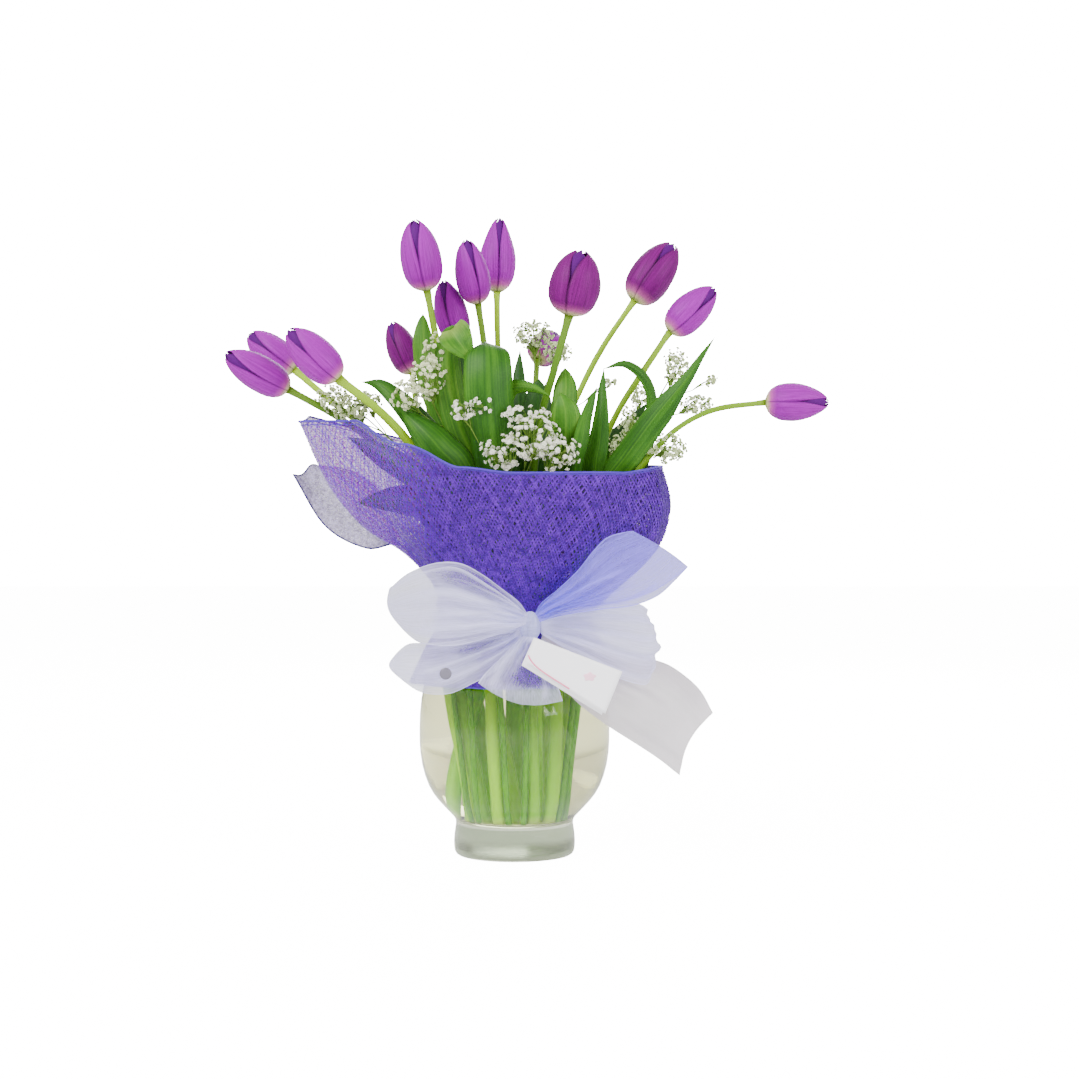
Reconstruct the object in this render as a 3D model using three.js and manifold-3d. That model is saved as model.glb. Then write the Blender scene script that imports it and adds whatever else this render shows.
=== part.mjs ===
// Thirteen cut tulips with their leaves and baby's breath in a footed glass vase,
// wrapped at the neck in violet net and tied with a sheer white bow that carries a gift card.
// Millimetres, +Z up, front towards -Y. The origin is the middle of the vase's underside.
import * as THREE from "three";
import { mergeVertices } from "three/addons/utils/BufferGeometryUtils.js";
import Module from "manifold-3d";

// ---------------------------------------------------------------- driving dimensions
const GAP = 0.42;              // clearance kept between neighbouring pieces
const WATER_LEVEL = 148;       // surface of the water above the table
const STEM_SIDES = 7;
const VASE_SIDES = 28;
const LEAF_T = 1.1;            // leaf thickness
const WRAP_T = 1.0;            // net wrap, thickness of the gathered sheet
const RIBBON_T = 1.1;          // ribbon layer
const CARD_T = 1.6;            // folded card
const PLEATS = 11;             // gathers round the wrap
// outside of the vase from the middle of the underside to the lip [radius, height]
const VASE_OUT = [[0,0],[44.5,0],[47.2,2.4],[48.5,10],[48.0,19],[46.9,26],[49.6,31.6],[56,38.6],[64.6,48.4],[71.6,63.6],[75.4,82],[76,100],[74.6,124],[69.8,146],[63.4,164.5],[59.4,176.5],[57.6,186],[58.6,194],[61,200.2],[60.0,201.4]];
// inside of the vase from the lip down to the middle of the floor
const VASE_IN = [[58.2,200.4],[54.8,193],[54.1,186],[55.8,177],[60.2,163],[66.6,145],[71.2,124],[72.4,100],[71.4,84],[67.2,64],[60,49.6],[50,38.4],[38,30.2],[22,25.8],[0,24.8]];
// tulips: head tip and base, head width, roll about its axis, stem radius and stem centreline from the head down to the vase floor
const TULIPS = [
  {n:"01",tip:[-225.9,-34.0,398.1],base:[-178.0,-22.0,370.2],w:27.6,roll:10,r:2.7,rb:4.7,p:[[-178.0,-22.0,370.2],[-142.5,-20.0,350.4],[-112.5,-19.9,330.1],[-83.9,-18.1,302.3],[-70.3,-14.9,269.0],[-58.3,-11.2,230.2],[-48.8,-8.7,195.3],[-39.8,-7.5,155.6],[-34.9,-7.6,128.9],[-30.2,-7.9,102.1],[-26.1,-8.0,79.9],[-21.1,-8.0,53.5],[-16.0,-8.0,28.2]]},
  {n:"02",tip:[-216.7,34.0,418.6],base:[-179.0,28.0,388.9],w:27.2,roll:40,r:2.6,rb:4.7,p:[[-179.0,28.0,388.9],[-147.2,24.0,362.0],[-117.8,23.9,339.1],[-87.2,22.5,311.1],[-71.6,21.0,277.6],[-58.9,19.2,237.7],[-49.4,17.5,201.7],[-41.2,15.1,160.7],[-37.5,13.0,133.1],[-34.0,10.2,105.5],[-30.2,6.4,82.5],[-26.0,6.1,55.3],[-24.0,6.0,29.3]]},
  {n:"03",tip:[-173.7,-58.0,414.4],base:[-135.7,-52.0,376.6],w:30.4,roll:-20,r:3.2,rb:4.7,p:[[-135.7,-52.0,376.6],[-104.7,-51.8,352.4],[-80.8,-49.5,326.9],[-59.6,-44.8,294.5],[-46.1,-42.4,262.3],[-32.1,-41.7,225.4],[-22.5,-37.6,192.0],[-16.8,-33.9,153.4],[-15.2,-31.7,127.3],[-14.1,-29.4,101.1],[-12.8,-27.5,79.5],[-11.1,-25.1,53.7],[-9.7,-22.5,29.2]]},
  {n:"04",tip:[-103.0,74.0,431.9],base:[-85.4,66.0,388.9],w:24.8,roll:80,r:2.3,rb:5.3,p:[[-85.4,66.0,388.9],[-80.0,58.5,352.7],[-66.8,54.6,321.7],[-51.0,50.5,287.4],[-43.8,45.3,254.8],[-37.6,39.3,217.6],[-32.2,34.6,184.5],[-26.7,31.1,147.1],[-23.2,30.5,122.0],[-18.5,25.4,97.1],[-15.2,21.2,76.5],[-10.7,16.5,52.0],[-8.2,18.1,28.7]]},
  {n:"05",tip:[-80.0,4.0,507.6],base:[-70.6,14.0,451.9],w:32.0,roll:0,r:2.7,rb:4.7,p:[[-70.6,14.0,451.9],[-62.6,18.6,408.9],[-54.0,20.1,370.7],[-42.1,20.5,328.4],[-33.8,18.9,290.4],[-29.5,13.9,246.9],[-25.7,9.2,208.2],[-19.9,4.4,164.9],[-15.1,1.4,136.1],[-10.0,-1.6,107.4],[-5.9,-4.0,83.4],[-0.9,-7.0,55.0],[4.0,-10.0,27.4]]},
  {n:"06",tip:[-58.7,44.0,463.2],base:[-46.6,50.0,414.1],w:26.4,roll:55,r:2.5,rb:4.7,p:[[-46.6,50.0,414.1],[-40.1,48.8,374.9],[-34.9,45.0,340.1],[-28.5,38.8,301.4],[-22.5,38.5,266.5],[-16.1,39.5,227.3],[-13.4,38.0,192.3],[-16.0,30.7,153.6],[-19.8,22.4,128.3],[-25.9,18.3,103.1],[-30.6,16.3,82.0],[-35.6,9.0,57.2],[-37.5,1.0,34.7]]},
  {n:"07",tip:[-40.1,30.0,494.9],base:[-30.2,38.0,443.4],w:26.8,roll:5,r:2.45,rb:5.3,p:[[-30.2,38.0,443.4],[-24.2,38.4,401.5],[-21.8,34.3,363.9],[-19.1,29.3,321.7],[-14.9,25.9,284.3],[-7.8,25.0,242.4],[-2.3,24.2,205.0],[0.4,22.2,162.6],[0.4,20.1,134.3],[-0.2,17.9,106.1],[-0.3,16.0,82.6],[0.3,13.3,54.6],[0.7,10.6,27.6]]},
  {n:"08",tip:[-13.7,84.0,519.8],base:[-15.7,80.0,457.4],w:29.6,roll:35,r:2.45,rb:5.3,p:[[-15.7,80.0,457.4],[-14.9,77.4,413.3],[-12.8,69.9,374.8],[-10.2,59.5,331.8],[-7.6,48.6,294.2],[-1.9,42.5,250.8],[3.2,38.2,212.0],[8.3,33.5,168.3],[10.7,28.7,139.1],[11.6,26.4,109.8],[12.3,23.9,85.5],[13.6,20.5,56.6],[15.0,17.0,29.0]]},
  {n:"09",tip:[53.7,-52.0,476.0],base:[42.9,-48.0,426.1],w:38.8,roll:-8,r:2.9,rb:4.7,p:[[42.9,-48.0,426.1],[32.1,-45.3,386.9],[22.3,-41.9,352.1],[16.0,-35.8,312.3],[13.3,-34.3,276.2],[11.4,-35.9,235.4],[10.4,-36.5,199.1],[10.3,-34.8,158.4],[10.9,-32.4,131.3],[11.5,-29.8,104.2],[12.1,-27.6,81.7],[12.7,-25.1,55.0],[13.3,-22.8,29.8]]},
  {n:"10",tip:[130.7,46.0,492.9],base:[97.2,38.0,445.8],w:33.6,roll:20,r:2.4,rb:4.7,p:[[97.2,38.0,445.8],[72.5,34.4,409.3],[54.2,30.9,374.8],[37.7,24.2,334.4],[30.9,20.4,296.0],[26.2,17.2,252.2],[22.9,14.5,213.1],[20.7,12.0,169.1],[20.5,10.7,139.7],[20.7,9.5,110.2],[20.9,8.5,85.8],[20.8,7.2,56.6],[20.1,5.7,28.5]]},
  {n:"11",tip:[159.3,-6.0,451.8],base:[123.4,-8.0,416.7],w:27.2,roll:-15,r:2.5,rb:4.7,p:[[123.4,-8.0,416.7],[100.4,-8.0,382.2],[81.1,-6.7,350.9],[65.1,-4.1,313.0],[57.7,-4.4,276.9],[50.6,-5.2,236.0],[44.6,-5.8,199.7],[38.3,-5.9,158.7],[34.3,-5.8,131.4],[30.3,-5.5,104.0],[27.0,-5.3,81.3],[23.0,-5.1,54.3],[19.0,-4.9,28.4]]},
  {n:"12",tip:[247.3,-30.0,359.6],base:[197.9,-26.0,359.9],w:29.2,roll:12,r:2.3,rb:4.7,p:[[197.9,-26.0,359.9],[156.3,-26.0,353.7],[123.9,-25.9,335.7],[96.3,-25.8,304.2],[76.8,-27.3,272.4],[56.0,-29.0,235.8],[40.3,-29.6,202.1],[30.1,-27.8,161.9],[28.1,-25.1,134.2],[27.5,-22.0,106.4],[26.4,-19.6,83.2],[24.5,-17.0,55.8],[21.9,-14.9,29.9]]},
  {n:"13",tip:[34.1,112.0,425.0],base:[17.9,92.0,401.5],w:26.4,roll:60,r:2.3,rb:5.3,p:[[17.9,92.0,401.5],[16.0,77.5,365.1],[14.9,63.7,333.1],[14.0,51.7,296.2],[15.7,49.0,261.5],[17.0,47.1,222.4],[15.8,44.4,187.7],[10.1,40.1,149.4],[4.6,34.9,124.2],[-1.4,30.3,99.1],[-5.9,28.6,78.1],[-12.3,27.6,53.4],[-19.3,21.0,31.0]]}
];
// baby's breath: main stem from the top down, and flower clusters {c: centre, s: half sizes, f: where its branch leaves the main stem}
const SPRIGS = [
  {n:"01",p:[[-127.2,-30.0,357.6],[-99.5,-32.7,332.9],[-74.7,-34.4,311.0],[-50.0,-34.1,284.9],[-46.4,-29.1,252.7],[-46.9,-23.0,216.0],[-45.9,-18.7,183.2],[-42.1,-15.9,146.3],[-38.9,-14.5,121.7],[-35.7,-13.2,97.1],[-33.1,-12.0,76.7],[-30.0,-10.5,52.3],[-27.0,-9.0,28.9]],cl:[{c:[-143.5,-24.0,362.6],s:[13.0,11.0,11.0],f:[-114.8,-31.2,346.7]},{c:[-126.9,-34.0,355.1],s:[15.0,12.0,12.0],f:[-102.5,-32.4,335.7]},{c:[-115.3,-22.0,360.4],s:[11.0,10.0,8.0],f:[-99.5,-32.7,332.9]}]},
  {n:"02",p:[[-69.6,-50.0,372.1],[-53.7,-46.6,339.9],[-39.6,-41.3,311.9],[-28.2,-36.1,279.0],[-29.3,-36.5,247.0],[-32.5,-35.9,211.1],[-32.5,-36.6,179.2],[-30.9,-33.4,143.4],[-29.4,-30.5,119.6],[-27.8,-27.6,95.8],[-26.7,-25.3,76.1],[-25.3,-22.7,52.5],[-24.0,-20.0,29.8]],cl:[{c:[-81.8,-54.0,364.1],s:[14.0,12.0,12.0],f:[-53.7,-46.6,339.9]},{c:[-66.2,-56.0,377.2],s:[15.0,13.0,16.0],f:[-55.4,-47.1,343.6]},{c:[-62.0,-46.0,399.5],s:[10.0,10.0,13.0],f:[-62.2,-48.7,358.0]}]},
  {n:"03",p:[[-30.1,-72.0,350.2],[-20.5,-63.6,319.1],[-13.6,-49.1,294.4],[-12.0,-45.6,261.4],[-12.1,-46.7,231.5],[-12.0,-46.8,197.8],[-11.1,-44.8,168.0],[-9.5,-40.8,134.6],[-8.3,-37.7,112.4],[-7.1,-34.8,90.2],[-6.1,-32.5,71.7],[-4.9,-29.9,49.7],[-3.4,-27.5,28.6]],cl:[{c:[-38.4,-76.0,351.5],s:[10.0,9.0,8.0],f:[-21.3,-64.8,322.5]},{c:[-25.4,-76.0,356.1],s:[11.0,9.0,8.0],f:[-21.3,-64.8,322.5]}]},
  {n:"04",p:[[9.7,-76.0,311.8],[5.4,-55.6,292.1],[5.7,-50.6,266.4],[7.7,-49.8,236.4],[9.2,-49.0,209.7],[9.9,-46.8,179.7],[9.7,-43.7,153.1],[9.0,-39.7,123.3],[8.5,-36.9,103.5],[8.0,-34.3,83.6],[7.6,-32.3,67.1],[7.1,-29.8,47.5],[6.6,-27.2,28.7]],cl:[{c:[-6.2,-84.0,319.2],s:[20.0,10.0,13.0],f:[6.6,-60.5,295.8]},{c:[16.6,-86.0,331.3],s:[22.0,10.0,18.0],f:[8.4,-68.1,301.2]},{c:[34.1,-84.0,319.2],s:[17.0,10.0,14.0],f:[7.4,-63.3,297.0]},{c:[12.7,-76.0,348.5],s:[22.0,9.0,6.0],f:[8.4,-68.1,301.2]}]},
  {n:"05",p:[[20.4,66.0,407.9],[17.9,59.1,369.4],[15.7,50.7,335.6],[12.0,36.8,299.3],[9.4,35.8,264.9],[7.6,42.0,226.2],[5.3,44.9,191.7],[2.8,43.4,152.6],[0.8,41.6,126.7],[0.5,38.2,100.8],[-0.3,34.6,79.2],[-1.7,31.1,53.6],[-3.0,28.0,28.8]],cl:[{c:[14.6,66.0,421.2],s:[17.0,14.0,12.0],f:[18.7,61.8,382.2]},{c:[35.3,58.0,405.7],s:[12.0,10.0,10.0],f:[17.7,58.1,365.2]},{c:[77.8,44.0,379.3],s:[6.0,5.0,4.0],f:[16.0,51.8,339.8]}]},
  {n:"06",p:[[128.0,34.0,385.2],[108.2,29.1,352.3],[88.0,23.8,325.0],[66.1,14.1,294.7],[55.7,11.3,262.3],[49.6,11.6,224.1],[45.1,11.8,189.9],[40.5,11.2,151.4],[37.7,10.5,125.7],[35.0,9.8,100.1],[32.7,9.3,78.7],[30.0,8.7,53.4],[27.8,8.3,29.1]],cl:[{c:[131.4,36.0,392.7],s:[11.0,10.0,15.0],f:[115.4,30.4,362.9]},{c:[148.1,30.0,361.4],s:[14.0,11.0,8.0],f:[105.6,28.7,348.8]},{c:[101.6,26.0,368.5],s:[11.0,9.0,8.0],f:[93.1,25.8,331.6]},{c:[159.8,34.0,381.1],s:[5.0,5.0,5.0],f:[115.4,30.4,362.9]}]},
  {n:"07",p:[[114.8,-28.0,323.9],[84.0,-30.5,312.1],[62.6,-24.1,293.3],[54.3,-20.1,261.3],[50.7,-18.2,231.7],[46.9,-16.5,198.3],[43.4,-15.2,168.6],[39.5,-14.2,135.2],[37.0,-13.6,113.0],[34.4,-12.9,90.7],[32.3,-12.3,72.2],[30.0,-11.4,50.3],[28.3,-10.0,29.4]],cl:[{c:[119.6,-26.0,324.0],s:[17.0,12.0,12.0],f:[100.3,-29.9,321.1]},{c:[91.6,-18.0,343.2],s:[9.0,9.0,14.0],f:[81.0,-30.4,309.9]},{c:[82.0,-20.0,325.7],s:[8.0,8.0,9.0],f:[66.8,-26.2,298.9]}]}
];
// leaves: blades by half widths W at ten even stations, width direction at the foot w0 and tip w1, and midline p
const LEAVES = [
  {n:"leaf_01",stem:"09",b:[{W:[7,9,12,14.5,16.5,18,18.8,18.8,17.5,9],w0:[1,0.1,0],w1:[1,0.1,0],p:[[8.6,-39.5,230.9],[9.8,-38.2,248.9],[4.6,-44.7,265.1],[-1.8,-52.9,280.3],[-8.1,-60.9,295.5],[-12.7,-67.6,311.9],[-14.8,-72.4,329.5],[-16.8,-76.6,347.2],[-18.4,-79.9,365.2],[-19.1,-79.2,383.4],[-20.0,-70.8,399.4],[-22.2,-54.0,405.1]]}]},
  {n:"leaf_02",stem:"03",b:[{W:[6,7,9,10.5,11.5,12,12,11.5,9.5,6.5],w0:[1,0.3,0],w1:[1,0.2,0.1],p:[[-31.9,-44.9,233.7],[-37.3,-46.0,249.8],[-35.4,-45.9,267.1],[-32.7,-45.8,284.3],[-30.9,-45.9,301.6],[-33.3,-47.0,318.7],[-40.1,-49.2,334.6],[-45.1,-50.8,351.2],[-48.7,-51.8,368.2],[-50.7,-52.1,385.5],[-50.5,-51.7,402.9],[-46.8,-57.0,418.0]]},{W:[7,10.5,12.5,13,12,10.2,8,5.4,3,0.6],w0:[0.9,0.0,0.42],w1:[0.8,0,0.6],p:[[-49.2,-55.0,414.3],[-47.0,-59.2,412.2],[-44.6,-62.4,408.9],[-42.1,-64.5,404.9],[-39.2,-65.6,400.8],[-36.2,-66.0,396.5],[-33.3,-66.1,392.3],[-30.3,-66.0,388.1]]}]},
  {n:"leaf_03",stem:"05",b:[{W:[5,6,7,8,8.8,9.2,9.4,9.4,8.6,4.5],w0:[1,0.2,0],w1:[1,0.2,0],p:[[-31.7,9.8,232.4],[-34.3,11.6,251.2],[-34.8,9.8,270.2],[-35.3,7.7,289.2],[-37.6,6.0,308.0],[-45.0,5.5,325.6],[-54.5,6.0,342.1],[-61.5,6.8,359.9],[-67.5,7.9,378.0],[-71.4,9.1,396.7],[-73.5,10.7,415.6],[-74.0,17.0,433.3]]}]},
  {n:"leaf_04",stem:"03",b:[{W:[6,8,10.5,12.5,13.5,13,11.5,9,5.5,0.8],w0:[0.8,0.3,0.5],w1:[0.4,0.4,0.8],p:[[-38.4,-38.1,233.7],[-45.2,-37.7,248.9],[-45.5,-35.4,265.6],[-45.1,-32.8,282.3],[-45.4,-30.6,299.1],[-49.7,-30.2,315.3],[-60.4,-33.0,327.9],[-70.9,-35.6,340.9],[-81.7,-37.9,353.7],[-93.7,-38.5,365.6],[-106.8,-33.3,374.7],[-120.6,-24.0,376.0]]}]},
  {n:"leaf_05",stem:"09",b:[{W:[5,5,5.5,6,7,7.6,7.8,7,4.4,0.6],w0:[1,0,0],w1:[0.2,0.1,-1],p:[[7.2,-37.7,230.9],[8.0,-36.9,247.1],[4.7,-38.2,263.0],[0.0,-39.9,278.5],[-4.6,-42.0,293.9],[-8.2,-44.7,309.6],[-9.4,-49.0,325.3],[-9.0,-53.9,340.8],[-8.7,-58.0,356.5],[-1.4,-62.2,369.1],[14.3,-65.9,369.1],[28.8,-67.0,361.9]]}]},
  {n:"leaf_06",stem:"09",b:[{W:[5,5.5,6,6.5,7.2,8.8,11,12,11,6],w0:[1,-0.1,0],w1:[1,-0.1,0],p:[[14.4,-39.1,230.9],[14.2,-37.5,244.3],[17.3,-40.2,257.2],[22.1,-44.9,269.1],[27.1,-50.0,280.7],[32.0,-55.4,292.2],[36.4,-60.8,303.9],[38.9,-66.9,315.8],[39.8,-73.5,327.7],[40.2,-80.2,339.5],[39.4,-84.0,352.5],[35.6,-80.0,364.3]]},{W:[5,6,7,8,9,9.8,10.3,10.3,9,4.5],w0:[1,0.1,0],w1:[1,0.1,0],p:[[15.3,-37.7,230.9],[15.6,-36.7,245.6],[19.2,-38.1,260.0],[24.1,-40.5,273.8],[29.2,-43.0,287.5],[33.8,-45.3,301.4],[36.8,-46.8,315.8],[37.3,-47.1,330.6],[38.3,-46.9,345.4],[39.8,-46.1,360.2],[40.6,-42.8,374.6],[40.0,-34.0,386.4]]}]},
  {n:"leaf_07",stem:"12",b:[{W:[4,5,6,6.6,7,7,6.8,6,4,0.6],w0:[1,0.35,0],w1:[1,0.35,0],p:[[53.2,-32.9,231.7],[62.3,-30.6,243.0],[63.4,-35.5,256.3],[59.2,-43.5,268.0],[54.4,-51.9,279.1],[49.7,-60.4,290.3],[46.8,-68.6,302.2],[49.0,-75.7,314.7],[52.3,-79.5,328.5],[55.2,-80.0,343.0],[59.4,-78.6,357.0],[64.0,-72.0,369.3]]},{W:[6,8,9.6,10.4,10.4,9.4,7.8,5.8,3.4,0.6],w0:[1,-0.3,0],w1:[1,-0.3,0],p:[[55.0,-32.8,231.7],[64.0,-31.4,243.5],[66.5,-34.8,257.5],[65.2,-40.6,271.2],[63.3,-46.6,284.7],[61.6,-52.5,298.3],[62.0,-57.2,312.4],[64.8,-59.7,326.8],[66.5,-60.6,341.6],[67.7,-59.4,356.4],[68.4,-55.7,370.8],[70.0,-52.0,385.2]]}]},
  {n:"leaf_08",stem:"12",b:[{W:[5,6.2,8,9.6,10.8,10.8,10.2,5.4,2.6,0.6],w0:[0.8,-0.2,-0.6],w1:[0.8,-0.2,-0.6],p:[[56.0,-32.3,231.7],[66.5,-31.2,248.3],[69.2,-39.4,266.1],[69.8,-49.6,283.1],[74.6,-58.6,299.9],[85.6,-65.7,314.9],[96.6,-72.0,330.1],[108.1,-76.5,345.7],[120.5,-79.2,361.0],[132.8,-78.0,376.4],[143.7,-74.6,392.6],[154.6,-68.0,407.8]]}]},
  {n:"leaf_09",stem:"11",b:[{W:[4,4.6,5.2,5.5,5.6,5.6,5.6,5,3.4,0.6],w0:[1,0,0],w1:[0.1,0.2,1],p:[[53.8,-6.0,231.5],[56.4,-5.4,250.0],[67.0,-7.3,265.5],[79.1,-9.6,279.9],[91.0,-12.1,294.4],[101.3,-14.4,310.0],[106.6,-16.4,328.0],[108.9,-18.6,346.7],[109.4,-22.3,365.1],[101.8,-30.7,380.1],[86.8,-36.3,389.5],[69.5,-41.0,385.1]]}]},
  {n:"leaf_10",stem:"03",b:[{W:[6,8,10.5,13,15,16,15,12,7,1],w0:[0.75,0.1,0.6],w1:[0.75,0.1,0.6],p:[[-36.3,-46.0,233.7],[-42.2,-46.5,245.8],[-42.3,-49.5,259.0],[-40.8,-53.0,272.1],[-39.5,-56.5,285.2],[-39.8,-60.0,298.4],[-45.3,-63.4,310.2],[-54.5,-65.8,319.9],[-63.3,-65.7,330.2],[-72.6,-62.0,339.5],[-81.2,-55.0,347.3],[-88.5,-46.0,354.5]]},{W:[5,7,9,11,12.6,13,12,9.5,5.5,0.8],w0:[0.3,0.2,1],w1:[0.1,0.3,1],p:[[-36.1,-46.1,233.7],[-41.7,-46.4,245.9],[-41.2,-51.2,258.2],[-38.5,-57.8,269.6],[-46.2,-64.6,276.2],[-59.1,-66.9,278.2],[-71.5,-63.2,281.9],[-82.9,-56.5,283.9],[-93.4,-48.0,284.5],[-104.0,-39.8,283.9],[-114.5,-31.4,282.5],[-124.8,-23.0,280.7]]},{W:[5,6,7,8,9,10,10.4,9.4,6,0.8],w0:[0.5,0.1,1],w1:[0.3,0.3,1],p:[[-37.3,-45.6,233.7],[-43.3,-46.1,246.6],[-43.9,-50.3,260.0],[-43.1,-55.6,273.2],[-47.0,-60.2,285.7],[-59.2,-62.0,292.5],[-71.4,-60.9,299.6],[-83.1,-57.0,306.8],[-94.3,-51.8,313.7],[-105.7,-46.4,320.3],[-117.5,-41.4,326.6],[-129.8,-37.0,332.2]]}]},
  {n:"leaf_11",stem:"01",b:[{W:[7,9,11,12.5,13.5,14,14,13.5,12,6],w0:[1,0.2,0],w1:[1,0.2,0],p:[[-55.1,-14.0,230.2],[-61.6,-15.3,245.2],[-57.0,-19.2,260.4],[-48.9,-23.8,274.2],[-40.8,-28.3,288.0],[-34.5,-32.0,302.8],[-35.1,-33.1,319.2],[-40.2,-32.1,334.9],[-42.3,-32.1,351.4],[-43.2,-31.9,368.0],[-43.3,-30.4,384.5],[-41.8,-24.0,399.6]]},{W:[5,7,9,10,11,11,10.5,9,6,1],w0:[1,-0.2,0],w1:[1,-0.2,0],p:[[-54.8,-13.5,230.2],[-62.2,-13.9,243.1],[-57.4,-17.8,256.6],[-48.4,-22.3,267.9],[-39.0,-27.0,278.8],[-29.5,-31.6,289.7],[-20.5,-36.1,301.0],[-14.5,-40.1,314.1],[-17.4,-41.9,328.6],[-19.8,-41.7,343.5],[-21.9,-39.8,358.4],[-23.4,-36.0,372.9]]}]},
  {n:"leaf_12",stem:"07",b:[{W:[5,6,7,8,8.5,8.5,8,6.6,4.4,0.8],w0:[1,0,0],w1:[1,0,0],p:[[-3.8,21.7,233.1],[-6.6,21.6,248.7],[-4.2,18.9,264.3],[-1.1,15.7,279.8],[2.0,12.7,295.2],[4.6,10.4,310.9],[5.6,10.3,326.9],[4.5,13.0,342.7],[3.4,16.4,358.3],[3.3,19.6,374.1],[3.5,23.4,389.7],[4.2,28.0,405.1]]},{W:[6,8,10,12,13,13.5,13.5,13,11,5],w0:[1,0.1,0],w1:[1,0.1,0],p:[[-3.9,21.7,233.1],[-7.3,22.6,246.5],[-4.0,18.3,259.7],[0.5,13.1,272.3],[5.1,7.8,284.8],[9.7,2.6,297.3],[14.1,-2.3,310.0],[17.4,-6.0,323.4],[18.0,-6.3,337.6],[18.4,-5.6,351.9],[18.9,-3.7,366.0],[19.6,0.0,379.8]]}]},
  {n:"leaf_13",stem:"04",b:[{W:[6,8,10,11.5,12.5,13,12.5,10,6.5,1],w0:[1,0.5,0],w1:[1,0.5,0],p:[[-40.6,44.9,230.0],[-44.1,48.5,246.8],[-44.6,52.1,264.0],[-44.4,55.7,281.2],[-44.4,59.5,298.4],[-45.8,63.7,315.4],[-50.3,68.9,331.5],[-57.5,75.0,346.3],[-64.2,80.9,361.5],[-68.7,86.0,377.7],[-72.9,90.9,394.0],[-77.5,96.0,410.2]]},{W:[6,8,10,11.5,12.5,13,12.5,10,6.5,1],w0:[1,-0.1,0],w1:[1,-0.1,0],p:[[-37.6,44.5,230.0],[-41.2,47.6,246.7],[-37.3,52.9,263.1],[-32.3,58.3,279.3],[-27.2,63.8,295.4],[-22.5,69.4,311.6],[-19.3,75.0,328.1],[-19.8,80.6,344.9],[-23.6,86.0,361.3],[-27.0,91.1,378.0],[-31.0,95.9,394.6],[-35.5,102.0,410.7]]}]},
  {n:"leaf_14",stem:"10",b:[{W:[6,8,10,11.5,12.3,12.3,11,8.4,5,0.8],w0:[0.85,0.1,-0.5],w1:[0.75,0,-0.65],p:[[28.1,16.9,232.7],[28.5,17.8,246.7],[35.2,19.9,259.1],[43.2,22.4,270.7],[51.5,24.9,282.1],[59.8,27.0,293.6],[67.8,28.0,305.3],[74.8,25.5,317.4],[81.2,20.3,329.1],[89.7,17.0,340.1],[98.7,14.4,350.9],[107.4,13.0,362.1]]}]}
];
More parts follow.
